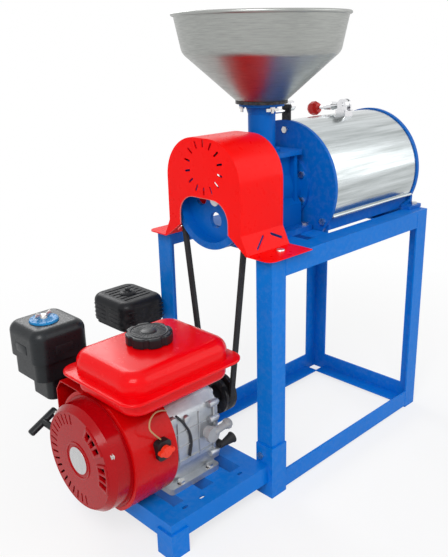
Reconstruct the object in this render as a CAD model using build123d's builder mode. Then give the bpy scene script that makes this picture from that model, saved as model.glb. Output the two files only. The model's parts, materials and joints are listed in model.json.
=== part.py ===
from build123d import *
from math import asin, cos, degrees, radians, sin, sqrt, tan
import os

# Grain mill on an angle iron stand, driven by a small petrol engine through a vee belt.
# Places are given from the stand's front face, its near face and the floor, in millimetres.
# The function at() moves them to the part's own frame, whose origin is on the floor,
# under the middle of the whole machine, with +X from the engine to the mill's tail.

os.makedirs("parts", exist_ok=True)

# Stand of rolled angle
stand_length = 550.0
stand_width = 330.0
stand_height = 515.0
angle_size = 40.0
angle_wall = 4.0
rail_lift = 5.0

bolt_m8 = 4.0
hole_m8 = 4.4

# Engine base, a low welded frame ahead of the stand
base_length = 262.0
base_inset = 8.0
base_height = 74.0
base_foot_top = 54.0
bracket_top = 117.0
bracket_bolt_height = 91.0
base_cross_starts = (197.0, 119.0)
base_cross_width = 46.0
base_slot_places = (62.0, 165.0, 208.0)
base_slot_length = 14.0
base_slot_width = 7.0

# Shaft lines
shaft_height = 602.0
crank_rise = 106.0
shaft_radius = 12.5
shaft_body_radius = 15.0
crank_radius = 10.0
fit_gap = 0.06
side_gap = 0.3

# Belt drive
belt_centre = 10.0
belt_width = 13.0
belt_thick = 8.0
mill_pulley_radius = 96.0
groove_depth = 10.0
groove_slope = 17.0
engine_pulley_radius = 42.5
pulley_rim_width = 30.0
pulley_rim_wall = 14.0
pulley_web = 8.0
pulley_hub_radius = 20.0
mill_pulley_hub = 46.0
web_hole_radius = 16.0
web_hole_ring = 41.0
web_hole_count = 4

# Mill body casting
body_start = 112.0
body_end = 227.0
barrel_radius = 52.0
body_bore = 34.0
body_flange_radius = 70.0
body_flange_thick = 8.0
foot_plate_thick = 12.0
foot_plate_width = 170.0
foot_hole_side = 75.0
pedestal_width = 120.0
pedestal_ledge = 572.0
body_box_width = 84.0
body_plate_top = 683.0
body_plate_thick = 9.0
body_plate_width = 120.0
body_plate_length = 98.0
bearing_radius = 31.0
bearing_width = 18.0

# Feed neck, gate and hopper
feed_x = 153.0
neck_radius = 28.0
neck_wall = 2.5
neck_top = 778.0
neck_flange_radius = 46.0
neck_flange_thick = 5.0
neck_flare = 16.0
gate_height = 756.0
gate_thick = 2.5
gate_stem_radius = 4.0
gate_knob_radius = 11.0
gate_knob_length = 15.0
gate_knob_lift = 9.0
gate_stem_end = 234.0
gate_travel = 46.0
ring_radius = 53.0
ring_thick = 6.0
hopper_rise = 164.0
hopper_shoulder_rise = 92.0
hopper_rim_radius = 172.0
hopper_shoulder_radius = 157.0
hopper_wall = 1.5
hopper_bead = 3.5
wing_bolt_ring = 40.0

# Sieve drum and its casing
drum_start = 227.0
drum_end = 540.0
end_plate_thick = 8.0
front_plate_radius = 136.0
rear_plate_radius = 137.0
cover_radius = 134.0
cover_wall = 1.2
cover_lap = 24.0
seam_reach = 24.0
sieve_radius = 106.0
sieve_wall = 1.5
bar_height = 26.0
bar_top = 542.0
bar_wall = 4.0
bar_offset = 115.0
hinge_pin_radius = 1.8
hinge_roll_radius = 3.6
tie_bolt_side = 105.0
tie_bolt_drop = 67.0
tie_bolt_rise = 116.0
rear_foot_height = 26.0

# Tail of the mill
housing_flange_radius = 50.0
housing_flange_thick = 10.0
housing_radius = 37.0
housing_length = 42.0
wheel_gap = 6.0
wheel_radius = 52.0
wheel_width = 26.0

# Belt guard
guard_front = -17.0
guard_depth = 120.0
guard_half = 102.0
guard_top = 726.0
guard_wall = 2.0
guard_corner = 83.0
guard_crease = 552.0
guard_foot_inner = 120.0
guard_foot_outer = 177.5
arch_half = 69.0
arch_top = 611.0
arch_corner = 42.0
arch_spring = 548.0
vent_ring_height = 670.5
vent_ring_radius = 46.0
vent_count = 14
vent_length = 16.0
vent_width = 4.0
guard_bolt_x = 54.0
guard_bolt_y = 27.0

# Engine
engine_face = -57.0
side_cover_thick = 18.0
case_length = 130.0
housing_depth = 95.0
recoil_depth = 43.0
case_near = 78.0
case_far = 78.0
case_top = 262.0
engine_foot_thick = 12.0
engine_bolt_x = (-172.5, -97.0)
engine_bolt_side = 83.0
cylinder_tilt = 25.0
fan_radius = 118.0
fan_housing_top = 287.0
recoil_radius = 106.0
recoil_wall = 2.5
tank_length = 261.0
tank_width = 207.0
tank_front = -316.0
tank_near = 28.0
tank_seam = 329.0
tank_top = 372.0
tank_bottom = 290.0
cap_x = -183.0
cap_y = 142.0
cap_radius = 44.0
cap_height = 18.0
cleaner_x = -272.5
cleaner_y = 352.5
cleaner_length = 119.0
cleaner_width = 119.0
cleaner_top = 385.0
cleaner_seam = 318.0
cleaner_knob_radius = 29.0
muffler_x = -61.5
muffler_y = 370.0
muffler_length = 105.0
muffler_width = 122.0
muffler_top = 374.0
muffler_bottom = 314.0
guard_gap = 4.0

# Reach of the whole machine beyond the stand, and the frame it is placed in
recoil_front = engine_face - side_cover_thick - case_length - housing_depth - recoil_depth
tail_end = drum_end + end_plate_thick + housing_length + wheel_gap + wheel_width
near_reach = guard_foot_outer - stand_width / 2
far_side = muffler_y + muffler_width / 2 + guard_gap
stand_front = -(tail_end + recoil_front) / 2
stand_near = -(far_side - near_reach) / 2

axis_y = stand_width / 2
crank_height = base_height + crank_rise


def at(x, y, z):
    """A point of the part's frame, from the stand's front face, its near face and the floor."""
    return (stand_front + x, stand_near + y, z)


def facing_x(x, y, z):
    """Plane across the shaft: its own x runs to the far side and its own y runs up."""
    return Plane(origin=at(x, y, z), x_dir=(0, 1, 0), z_dir=(1, 0, 0))


def facing_y(x, y, z):
    """Upright plane along the shaft: its own x runs to the tail and its own y runs up."""
    return Plane(origin=at(x, y, z), x_dir=(1, 0, 0), z_dir=(0, -1, 0))


def facing_far(x, y, z):
    """Upright plane along the shaft that faces the far side, its own y running up."""
    return Plane(origin=at(x, y, z), x_dir=(-1, 0, 0), z_dir=(0, 1, 0))


def facing_z(x, y, z):
    """Level plane: its own x runs to the tail and its own y to the far side."""
    return Plane(origin=at(x, y, z))


def angle_points(size, wall):
    """Corners of a rolled angle's section, with its outer corner at the origin."""
    return ((0, 0), (size, 0), (size, wall), (wall, wall), (wall, size), (0, size))


def hex_bolt(plane, thread, shank):
    """Hexagon bolt whose head stands on the plane and whose shank runs back through the work."""
    with BuildPart() as bolt:
        with BuildSketch(plane):
            RegularPolygon(radius=1.85 * thread, side_count=6)
        extrude(amount=1.3 * thread)
        with BuildSketch(plane):
            Circle(thread)
        extrude(amount=-shank)
    return bolt.part


def round_bolt(plane, head, rise, shank):
    """Bolt with a low round head on the plane, a shank and a nut under the work."""
    with BuildPart() as bolt:
        with BuildSketch(plane):
            Circle(head)
        extrude(amount=rise)
        fillet(bolt.faces().sort_by(Axis.Z)[-1].edges(), rise - 0.5)
        with BuildSketch(plane):
            Circle(bolt_m8)
        extrude(amount=-shank)
        with BuildSketch(plane.offset(3 - shank)):
            RegularPolygon(radius=1.85 * bolt_m8, side_count=6)
        extrude(amount=1.5 * bolt_m8)
    return bolt.part


shaft_line = Axis(at(0, axis_y, shaft_height), (1, 0, 0))
crank_line = Axis(at(0, axis_y, crank_height), (1, 0, 0))
feed_line = Axis(at(feed_x, axis_y, 0), (0, 0, 1))
shaft_plane = facing_y(0, axis_y, shaft_height)
crank_plane = facing_y(0, axis_y, crank_height)

# Stand legs
leg_corners = (
    ((0, 0), (1, 0, 0)),
    ((stand_length, 0), (0, 1, 0)),
    ((stand_length, stand_width), (-1, 0, 0)),
    ((0, stand_width), (0, -1, 0)),
)
with BuildPart() as stand_legs:
    for (x, y), turn in leg_corners:
        with BuildSketch(Plane(origin=at(x, y, 0), x_dir=turn, z_dir=(0, 0, 1))):
            Polygon(*angle_points(angle_size, angle_wall), align=None)
        extrude(amount=stand_height - angle_wall)
    with BuildSketch(facing_x(0, 0, bracket_bolt_height)):
        with Locations((27, 0), (stand_width - 27, 0)):
            Circle(hole_m8)
    extrude(amount=angle_wall, mode=Mode.SUBTRACT)
stand_legs.part.label = "stand_legs"
export_step(stand_legs.part, "parts/stand_legs.step")

# Top rails along both sides and across the tail, with flanges turned in over the legs;
# the front is left open for the belt
short_run = stand_width - 2 * angle_size
foot_bolts = ((body_start + 16, 74.0), (body_end - 22, 74.0))
rear_foot_bolts = ((540.0, 31.0), (540.0, stand_width - 31.0))
guard_bolts = ((guard_bolt_x, guard_bolt_y), (guard_bolt_x, stand_width - guard_bolt_y))
with BuildPart() as stand_rails:
    with BuildSketch(Plane(origin=at(stand_length, 0, stand_height), x_dir=(0, 1, 0), z_dir=(-1, 0, 0))):
        Polygon(*angle_points(angle_size, angle_wall), align=None)
    extrude(amount=stand_length)
    with BuildSketch(Plane(origin=at(0, stand_width, stand_height), x_dir=(0, -1, 0), z_dir=(1, 0, 0))):
        Polygon(*angle_points(angle_size, angle_wall), align=None)
    extrude(amount=stand_length)
    with BuildSketch(facing_z(stand_length / 2, axis_y, stand_height - angle_size)):
        with GridLocations(stand_length - angle_size, stand_width - angle_wall, 2, 2):
            Rectangle(angle_size, angle_wall)
    extrude(amount=angle_size - angle_wall, mode=Mode.SUBTRACT)
    with BuildSketch(
        Plane(origin=at(stand_length, angle_size, stand_height - angle_size), x_dir=(-1, 0, 0), z_dir=(0, 1, 0))
    ):
        Polygon(*angle_points(angle_size, angle_wall), align=None)
    extrude(amount=short_run)
    with BuildSketch(facing_z(0, 0, stand_height)):
        with Locations(*guard_bolts, *rear_foot_bolts):
            Circle(hole_m8)
    extrude(amount=-angle_wall, mode=Mode.SUBTRACT)

    # Bottom rails, just off the floor, with flanges turned in at the bottom
    with BuildSketch(Plane(origin=at(angle_size, 0, rail_lift), x_dir=(0, 1, 0), z_dir=(1, 0, 0))):
        Polygon(*angle_points(angle_size, angle_wall), align=None)
    extrude(amount=stand_length - 2 * angle_size)
    with BuildSketch(
        Plane(origin=at(stand_length - angle_size, stand_width, rail_lift), x_dir=(0, -1, 0), z_dir=(-1, 0, 0))
    ):
        Polygon(*angle_points(angle_size, angle_wall), align=None)
    extrude(amount=stand_length - 2 * angle_size)
    with BuildSketch(
        Plane(origin=at(0, stand_width - angle_size, rail_lift), x_dir=(1, 0, 0), z_dir=(0, -1, 0))
    ):
        Polygon(*angle_points(angle_size, angle_wall), align=None)
    extrude(amount=short_run)
    with BuildSketch(Plane(origin=at(stand_length, angle_size, rail_lift), x_dir=(-1, 0, 0), z_dir=(0, 1, 0))):
        Polygon(*angle_points(angle_size, angle_wall), align=None)
    extrude(amount=short_run)

    # Cross members that carry the mill body between the long top rails
    with BuildSketch(Plane(origin=at(body_start, angle_size, stand_height), x_dir=(1, 0, 0), z_dir=(0, 1, 0))):
        Polygon(*angle_points(angle_size, angle_wall), align=None)
    extrude(amount=short_run)
    with BuildSketch(
        Plane(
            origin=at(body_end - 5, stand_width - angle_size, stand_height), x_dir=(-1, 0, 0), z_dir=(0, -1, 0)
        )
    ):
        Polygon(*angle_points(angle_size, angle_wall), align=None)
    extrude(amount=short_run)
    with BuildSketch(facing_z(0, axis_y, stand_height)):
        for x, y in foot_bolts:
            with Locations((x, y), (x, -y)):
                Circle(hole_m8)
    extrude(amount=-angle_wall, mode=Mode.SUBTRACT)
stand_rails.part.label = "stand_rails"
export_step(stand_rails.part, "parts/stand_rails.step")

# Engine base: two long angles and four cross angles, welded into one frame
base_run = stand_width - 2 * base_inset
with BuildPart() as engine_base:
    with BuildSketch(Plane(origin=at(-angle_wall, base_inset, base_height), x_dir=(0, 1, 0), z_dir=(-1, 0, 0))):
        Polygon(*angle_points(angle_size, angle_wall), align=None)
    extrude(amount=base_length - angle_wall)
    with BuildSketch(
        Plane(origin=at(-base_length, stand_width - base_inset, base_height), x_dir=(0, -1, 0), z_dir=(1, 0, 0))
    ):
        Polygon(*angle_points(angle_size, angle_wall), align=None)
    extrude(amount=base_length - angle_wall)
    for start in (base_length, *base_cross_starts, angle_size + angle_wall):
        width = base_cross_width if start in base_cross_starts else angle_size
        with BuildSketch(Plane(origin=at(-start, base_inset, base_height), x_dir=(1, 0, 0), z_dir=(0, 1, 0))):
            Polygon(
                (0, 0), (width, 0), (width, angle_wall), (angle_wall, angle_wall),
                (angle_wall, angle_size), (0, angle_size), align=None,
            )
        extrude(amount=base_run)
    with BuildSketch(facing_z(0, axis_y, base_height)):
        for x in base_slot_places:
            with Locations((-x, -axis_y + base_inset + 24), (-x, axis_y - base_inset - 24)):
                SlotOverall(base_slot_length, base_slot_width)
        for x in engine_bolt_x:
            with Locations((x, -engine_bolt_side), (x, engine_bolt_side)):
                Circle(hole_m8)
    extrude(amount=-angle_wall, mode=Mode.SUBTRACT)

    # Front feet of the engine base, outside its corners
    for y, turn in ((base_inset - angle_wall, (1, 0, 0)), (stand_width - base_inset + angle_wall, (0, -1, 0))):
        with BuildSketch(Plane(origin=at(-base_length - angle_wall, y, 0), x_dir=turn, z_dir=(0, 0, 1))):
            Polygon(*angle_points(angle_size + 2, angle_wall), align=None)
        extrude(amount=base_foot_top)

    # Brackets that wrap the stand's front legs and carry the engine base
    for y, turn in ((-angle_wall, (1, 0, 0)), (stand_width + angle_wall, (0, -1, 0))):
        with BuildSketch(Plane(origin=at(-angle_wall, y, 0), x_dir=turn, z_dir=(0, 0, 1))):
            Polygon(*angle_points(angle_size + angle_wall, angle_wall), align=None)
        extrude(amount=bracket_top)
    with BuildSketch(facing_x(-angle_wall, 0, bracket_bolt_height)):
        with Locations((27, 0), (stand_width - 27, 0)):
            Circle(hole_m8)
    extrude(amount=angle_wall, mode=Mode.SUBTRACT)
engine_base.part.label = "engine_base"
export_step(engine_base.part, "parts/engine_base.step")

# Mill body: foot plate, pedestal, barrel, feed box and its top plate, in one casting
body_bolt_ring = 60.0
body_bolt_turn = 27.5
body_length = body_end - body_start
plate_x = feed_x + 12
with BuildPart() as mill_body:
    with BuildSketch(facing_z((body_start + body_end - 5) / 2, axis_y, stand_height)):
        RectangleRounded(body_length - 5, foot_plate_width, 8)
        for x, y in foot_bolts:
            with Locations((x - (body_start + body_end - 5) / 2, y), (x - (body_start + body_end - 5) / 2, -y)):
                Circle(hole_m8, mode=Mode.SUBTRACT)
        with Locations((12, foot_hole_side), (12, -foot_hole_side)):
            Circle(5, mode=Mode.SUBTRACT)
    extrude(amount=foot_plate_thick)
    with BuildSketch(facing_x(body_start + 6, axis_y, 0)):
        Polygon(
            (-pedestal_width / 2, stand_height + foot_plate_thick),
            (-pedestal_width / 2, pedestal_ledge),
            (-barrel_radius + 8, pedestal_ledge + 18),
            (barrel_radius - 8, pedestal_ledge + 18),
            (pedestal_width / 2, pedestal_ledge),
            (pedestal_width / 2, stand_height + foot_plate_thick),
            align=None,
        )
    extrude(amount=body_length - 23)
    with BuildSketch(facing_x(body_start, axis_y, shaft_height)):
        Circle(barrel_radius)
    extrude(amount=body_length - body_flange_thick)
    with BuildSketch(facing_x(body_end, axis_y, shaft_height)):
        Circle(body_flange_radius)
    extrude(amount=-body_flange_thick)
    with BuildSketch(facing_z(plate_x, axis_y, shaft_height)):
        Rectangle(body_plate_length - 14, body_box_width)
    extrude(amount=body_plate_top - body_plate_thick - shaft_height)
    with BuildSketch(facing_z(plate_x, axis_y, body_plate_top)):
        RectangleRounded(body_plate_length, body_plate_width, 6)
    extrude(amount=-body_plate_thick)
    for x in (body_start + 22, body_end - 34):
        with BuildSketch(facing_x(x, axis_y, 0)):
            Polygon(
                (-pedestal_width / 2 + 4, pedestal_ledge - 2),
                (-pedestal_width / 2 + 6, body_plate_top - body_plate_thick),
                (pedestal_width / 2 - 6, body_plate_top - body_plate_thick),
                (pedestal_width / 2 - 4, pedestal_ledge - 2),
                align=None,
            )
        extrude(amount=9)
    with BuildSketch(facing_x(body_start + bearing_width, axis_y, shaft_height)):
        Circle(body_bore)
    extrude(amount=body_length, mode=Mode.SUBTRACT)
    with BuildSketch(facing_x(body_start, axis_y, shaft_height)):
        Circle(bearing_radius)
    extrude(amount=bearing_width, mode=Mode.SUBTRACT)
    with BuildSketch(facing_z(feed_x, axis_y, shaft_height)):
        Circle(neck_radius - neck_wall)
    extrude(amount=body_plate_top - shaft_height, mode=Mode.SUBTRACT)
    with BuildSketch(facing_x(body_end, axis_y, shaft_height)):
        for turn in (body_bolt_turn, 180 - body_bolt_turn, 180 + body_bolt_turn, -body_bolt_turn):
            with PolarLocations(body_bolt_ring, 1, turn):
                Circle(hole_m8)
    extrude(amount=-body_flange_thick, mode=Mode.SUBTRACT)
mill_body.part.label = "mill_body"
export_step(mill_body.part, "parts/mill_body.step")

# Shaft bearings, one in the body and one in the tail housing
rear_plate_back = drum_end + end_plate_thick
tail_bearing_x = rear_plate_back + 14
with BuildPart() as mill_bearings:
    for x in (body_start, tail_bearing_x):
        with BuildSketch(facing_x(x, axis_y, shaft_height)):
            Circle(bearing_radius)
            Circle(shaft_body_radius + fit_gap, mode=Mode.SUBTRACT)
        extrude(amount=bearing_width)
mill_bearings.part.label = "mill_bearings"
export_step(mill_bearings.part, "parts/mill_bearings.step")

# Feed neck: a flanged tube with a slot for the gate
neck_bore = neck_radius - neck_wall
with BuildPart() as feed_neck:
    with BuildSketch(facing_y(feed_x, axis_y, 0)):
        Polygon(
            (neck_bore, body_plate_top), (neck_radius + 9, body_plate_top), (neck_radius + 9, body_plate_top + 5),
            (neck_radius, body_plate_top + 5), (neck_radius, neck_top - neck_flange_thick - neck_flare),
            (neck_radius + 5, neck_top - neck_flange_thick), (neck_flange_radius, neck_top - neck_flange_thick),
            (neck_flange_radius, neck_top), (neck_bore, neck_top), align=None,
        )
    revolve(axis=feed_line)
    with BuildSketch(facing_z(feed_x, axis_y, gate_height - side_gap)):
        with Locations((neck_radius, 0)):
            Rectangle(2 * neck_radius, 2 * neck_bore - 8)
    extrude(amount=gate_thick + 2 * side_gap, mode=Mode.SUBTRACT)
    with BuildSketch(facing_z(feed_x, axis_y, neck_top)):
        with PolarLocations(wing_bolt_ring, 3, 15):
            Circle(3.3)
    extrude(amount=-neck_flange_thick - 5, mode=Mode.SUBTRACT)
feed_neck.part.label = "feed_neck"
export_step(feed_neck.part, "parts/feed_neck.step")

# Feed gate: a plate across the neck, pulled out by a knob on a stem
gate_middle = gate_height + gate_thick / 2
gate_stem_start = feed_x + neck_radius + 3
with BuildPart() as feed_gate:
    with BuildSketch(facing_z(feed_x, axis_y, gate_height)):
        Circle(neck_bore - 4.5)
        with Locations((neck_radius - 5, 0)):
            Rectangle(18, 7.4)
    extrude(amount=gate_thick)
    with BuildSketch(facing_x(gate_stem_start, axis_y, gate_middle)):
        Circle(gate_stem_radius)
    extrude(amount=gate_stem_end - gate_stem_start)
    with BuildSketch(facing_x(gate_stem_end, axis_y, gate_middle + gate_knob_lift)):
        Circle(gate_knob_radius)
    extrude(amount=gate_knob_length)
    fillet(feed_gate.faces().sort_by(Axis.X)[-1].edges(), 3)
feed_gate.part.label = "feed_gate"
export_step(feed_gate.part, "parts/feed_gate.step")

# Ring between the neck's flange and the hopper
with BuildPart() as hopper_ring:
    with BuildSketch(facing_z(feed_x, axis_y, neck_top)):
        Circle(ring_radius)
        Circle(neck_bore, mode=Mode.SUBTRACT)
        with PolarLocations(wing_bolt_ring, 3, 15):
            Circle(3.3, mode=Mode.SUBTRACT)
    extrude(amount=ring_thick)
hopper_ring.part.label = "hopper_ring"
export_step(hopper_ring.part, "parts/hopper_ring.step")

# Hopper: spun sheet with a flat base flange, a cone, a shoulder, a steep band and a rolled bead
hopper_base = neck_top + ring_thick
hopper_rim_height = hopper_base + hopper_rise
hopper_shoulder_height = hopper_base + hopper_shoulder_rise
with BuildPart() as hopper:
    with BuildSketch(facing_y(feed_x, axis_y, 0)) as hopper_profile:
        with BuildLine():
            Polyline(
                (neck_bore, hopper_base),
                (ring_radius - 1, hopper_base),
                (hopper_shoulder_radius, hopper_shoulder_height),
                (hopper_rim_radius, hopper_rim_height),
                (hopper_rim_radius - hopper_wall, hopper_rim_height),
                (hopper_shoulder_radius - hopper_wall - 0.4, hopper_shoulder_height + 1),
                (ring_radius - 2, hopper_base + hopper_wall),
                (neck_bore, hopper_base + hopper_wall),
                close=True,
            )
        make_face()
        shoulders = hopper_profile.vertices().filter_by_position(
            Axis.Y, hopper_shoulder_height - 2, hopper_shoulder_height + 3
        )
        fillet(shoulders, 26)
        with Locations((hopper_rim_radius + 1, hopper_rim_height - 1)):
            Circle(hopper_bead)
    revolve(axis=feed_line)
    with BuildSketch(facing_z(feed_x, axis_y, hopper_base)):
        with PolarLocations(wing_bolt_ring, 3, 15):
            Circle(3.3)
    extrude(amount=hopper_wall + 1, mode=Mode.SUBTRACT)
hopper.part.label = "hopper"
export_step(hopper.part, "parts/hopper.step")

# Wing bolts that hold the hopper on the neck's flange
with BuildPart() as hopper_wing_bolts:
    with BuildSketch(facing_z(feed_x, axis_y, hopper_base + hopper_wall)):
        with PolarLocations(wing_bolt_ring, 3, 15):
            Circle(3)
    extrude(amount=-(hopper_wall + ring_thick + neck_flange_thick + 12))
    with BuildSketch(facing_z(feed_x, axis_y, hopper_base + hopper_wall)):
        with PolarLocations(wing_bolt_ring, 3, 15):
            Circle(6)
    extrude(amount=3)
    with BuildSketch(facing_z(feed_x, axis_y, neck_top - neck_flange_thick)):
        with PolarLocations(wing_bolt_ring, 3, 15):
            Circle(5.5)
    extrude(amount=-5)
    with BuildSketch(facing_z(feed_x, axis_y, neck_top - neck_flange_thick - 3)):
        with PolarLocations(wing_bolt_ring, 3, 15):
            with Locations((0, 9), (0, -9)):
                Rectangle(2.4, 10)
    extrude(amount=-6)

# Front plate of the drum
tie_bolts = ((-tie_bolt_side, -tie_bolt_drop), (tie_bolt_side, -tie_bolt_drop), (0, tie_bolt_rise))
with BuildPart() as front_plate:
    with BuildSketch(facing_x(drum_start, axis_y, shaft_height)):
        Circle(front_plate_radius)
        Circle(body_bore, mode=Mode.SUBTRACT)
        for turn in (body_bolt_turn, 180 - body_bolt_turn, 180 + body_bolt_turn, -body_bolt_turn):
            with PolarLocations(body_bolt_ring, 1, turn):
                Circle(hole_m8, mode=Mode.SUBTRACT)
        with Locations(*tie_bolts):
            Circle(hole_m8, mode=Mode.SUBTRACT)
    extrude(amount=end_plate_thick)
front_plate.part.label = "front_plate"
export_step(front_plate.part, "parts/front_plate.step")

# Guide of the gate's stem, on top of the front plate
with BuildPart() as gate_guide:
    with BuildSketch(facing_x(drum_start + 1, axis_y, 0)):
        with Locations((0, (shaft_height + front_plate_radius - 0.5 + gate_middle + 12) / 2)):
            Rectangle(22, gate_middle + 12 - shaft_height - front_plate_radius + 0.5)
        with Locations((0, gate_middle)):
            Circle(gate_stem_radius + fit_gap, mode=Mode.SUBTRACT)
    extrude(amount=4)
    add(front_plate.part, mode=Mode.SUBTRACT)
gate_guide.part.label = "gate_guide"
export_step(gate_guide.part, "parts/gate_guide.step")

# Rear plate of the drum, standing on the rear rail on a flanged foot
spout_low = stand_height + 10
spout_high = 546.0
spout_width = 90.0
foot_flange_start = 506.0
foot_flange_end = 558.0
foot_flange_thick = 8.0
with BuildPart() as rear_plate:
    with BuildSketch(facing_x(drum_end, axis_y, 0)):
        with Locations((0, shaft_height)):
            Circle(rear_plate_radius)
        with Locations((0, stand_height + rear_foot_height / 2)):
            Rectangle(2 * 124, rear_foot_height)
        with Locations((0, stand_height - 200)):
            Rectangle(400, 400, mode=Mode.SUBTRACT)
        with Locations((0, shaft_height)):
            Circle(shaft_body_radius + 3, mode=Mode.SUBTRACT)
            with Locations(*tie_bolts):
                Circle(hole_m8, mode=Mode.SUBTRACT)
            with PolarLocations(housing_flange_radius - 7, 4, 45):
                Circle(hole_m8, mode=Mode.SUBTRACT)
        with Locations((0, (spout_low + spout_high) / 2)):
            Rectangle(spout_width, spout_high - spout_low, mode=Mode.SUBTRACT)
    extrude(amount=end_plate_thick)
    for side in (-1, 1):
        with BuildSketch(facing_z((foot_flange_start + foot_flange_end) / 2, axis_y + side * 131, stand_height)):
            RectangleRounded(foot_flange_end - foot_flange_start, 28, 5)
        extrude(amount=foot_flange_thick)
        with BuildSketch(facing_y(0, axis_y + side * 120, 0)):
            Polygon(
                (foot_flange_start + 4, stand_height + foot_flange_thick),
                (drum_end, stand_height + rear_foot_height - 8),
                (drum_end, stand_height + foot_flange_thick),
                align=None,
            )
        extrude(amount=3, both=True)
    with BuildSketch(facing_z(0, 0, stand_height)):
        with Locations(*rear_foot_bolts):
            Circle(hole_m8)
    extrude(amount=foot_flange_thick, mode=Mode.SUBTRACT)
rear_plate.part.label = "rear_plate"
export_step(rear_plate.part, "parts/rear_plate.step")

# Bars that tie the two plates: an angle low on each side and a flat bar at the top
bar_start = drum_start + end_plate_thick
bar_run = drum_end - bar_start
with BuildPart() as drum_tie_bars:
    for side in (-1, 1):
        with BuildSketch(facing_x(bar_start, axis_y, 0)):
            Polygon(
                (side * bar_offset, bar_top),
                (side * bar_offset, bar_top - bar_height),
                (side * (bar_offset - 22), bar_top - bar_height),
                (side * (bar_offset - 22), bar_top - bar_height + bar_wall),
                (side * (bar_offset - bar_wall), bar_top - bar_height + bar_wall),
                (side * (bar_offset - bar_wall), bar_top),
                align=None,
            )
        extrude(amount=bar_run)
        for x in (bar_start, drum_end - 14):
            with BuildSketch(facing_x(x, axis_y, 0)):
                with Locations((side * (bar_offset - bar_wall - 6), bar_top - bar_height / 2 + bar_wall / 2)):
                    Rectangle(12, bar_height - bar_wall)
                with Locations((side * tie_bolt_side, shaft_height - tie_bolt_drop)):
                    Circle(hole_m8, mode=Mode.SUBTRACT)
            extrude(amount=14)
    with BuildSketch(facing_x(bar_start, axis_y, shaft_height)):
        with Locations((0, tie_bolt_rise)):
            Rectangle(24, 12)
    extrude(amount=bar_run)
    with BuildSketch(facing_x(bar_start, axis_y, shaft_height)):
        with Locations((0, tie_bolt_rise)):
            Circle(hole_m8)
    extrude(amount=14, mode=Mode.SUBTRACT)
    with BuildSketch(facing_x(drum_end, axis_y, shaft_height)):
        with Locations((0, tie_bolt_rise)):
            Circle(hole_m8)
    extrude(amount=-14, mode=Mode.SUBTRACT)
drum_tie_bars.part.label = "drum_tie_bars"
export_step(drum_tie_bars.part, "parts/drum_tie_bars.step")

# Half covers of the drum: the near one swings on a pin above the lower bar and laps over the far one
hinge_ring = cover_radius - cover_wall + hinge_roll_radius - 1
hinge_drop = shaft_height - bar_top - hinge_roll_radius - 0.4
hinge_angle = degrees(asin(hinge_drop / hinge_ring))
hinge_y = sqrt(hinge_ring**2 - hinge_drop**2)
hinge_z = shaft_height - hinge_drop
cover_start = bar_start + 0.6
cover_run = bar_run - 1.2
seam_angle = degrees(asin(seam_reach / cover_radius))
lap_angle = degrees(cover_lap / cover_radius)
under_radius = cover_radius - cover_wall - side_gap


def half_cover(side, radius, top_angle):
    """Sheet bent round the drum on one side, with its lower edge rolled round the hinge pin."""
    start = 180 + hinge_angle if side < 0 else -hinge_angle
    with BuildPart() as cover:
        with BuildSketch(facing_x(cover_start, axis_y, shaft_height)):
            with BuildLine():
                outer = CenterArc((0, 0), radius, start, top_angle - start)
                inner = CenterArc((0, 0), radius - cover_wall, start, top_angle - start)
                Line(outer @ 0, inner @ 0)
                Line(outer @ 1, inner @ 1)
            make_face()
            with Locations((side * hinge_y, -hinge_drop)):
                Circle(hinge_roll_radius)
                Circle(hinge_pin_radius + fit_gap, mode=Mode.SUBTRACT)
        extrude(amount=cover_run)
    return cover.part


with BuildPart() as drum_cover_near:
    add(half_cover(-1, cover_radius, 90 - seam_angle))
with BuildPart() as drum_cover_far:
    add(half_cover(1, under_radius, 90 - seam_angle + lap_angle))
drum_cover_near.part.label = "drum_cover_near"
export_step(drum_cover_near.part, "parts/drum_cover_near.step")
drum_cover_far.part.label = "drum_cover_far"
export_step(drum_cover_far.part, "parts/drum_cover_far.step")

# Hinge pins of the half covers, held between the plates
with BuildPart() as cover_hinge_pins:
    with BuildSketch(facing_x(bar_start, axis_y, hinge_z)):
        with Locations((-hinge_y, 0), (hinge_y, 0)):
            Circle(hinge_pin_radius)
    extrude(amount=bar_run)
print("hinge line", at(0, axis_y - hinge_y, hinge_z))

# Mill shaft with the feed screw's flight
screw_start = body_start + bearing_width + 4
screw_end = bar_start + 4
screw_turns = 3
shaft_step = body_start - 42
shaft_front = belt_centre + 4
shaft_back = rear_plate_back + 36
with BuildSketch(facing_x(screw_start, axis_y, shaft_height)) as screw_face:
    Circle(body_bore - side_gap - 1.2)
    Circle(shaft_body_radius - 1, mode=Mode.SUBTRACT)
    Polygon((0, 0), (2 * body_bore, body_bore), (2 * body_bore, -body_bore), align=None, mode=Mode.INTERSECT)
with BuildPart() as mill_shaft:
    with BuildSketch(facing_x(shaft_front, axis_y, shaft_height)):
        Circle(shaft_radius)
    extrude(amount=shaft_step - shaft_front)
    with BuildSketch(facing_x(shaft_step, axis_y, shaft_height)):
        Circle(shaft_body_radius)
    extrude(amount=shaft_back - shaft_step)
    add(
        Solid.extrude_linear_with_rotation(
            screw_face.sketch.faces()[0], at(screw_start, axis_y, shaft_height), (screw_end - screw_start, 0, 0),
            360 * screw_turns,
        )
    )
mill_shaft.part.label = "mill_shaft"
export_step(mill_shaft.part, "parts/mill_shaft.step")


def groove_points(radius, wall, start, end):
    """Half section of a grooved rim, from its front face to its back one."""
    rise = tan(radians(groove_slope))
    top = belt_width / 2 + 0.1
    bottom = top - groove_depth * rise
    return (
        (start, radius - wall),
        (start, radius),
        (belt_centre - top, radius),
        (belt_centre - bottom, radius - groove_depth),
        (belt_centre + bottom, radius - groove_depth),
        (belt_centre + top, radius),
        (end, radius),
        (end, radius - wall),
    )


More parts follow.
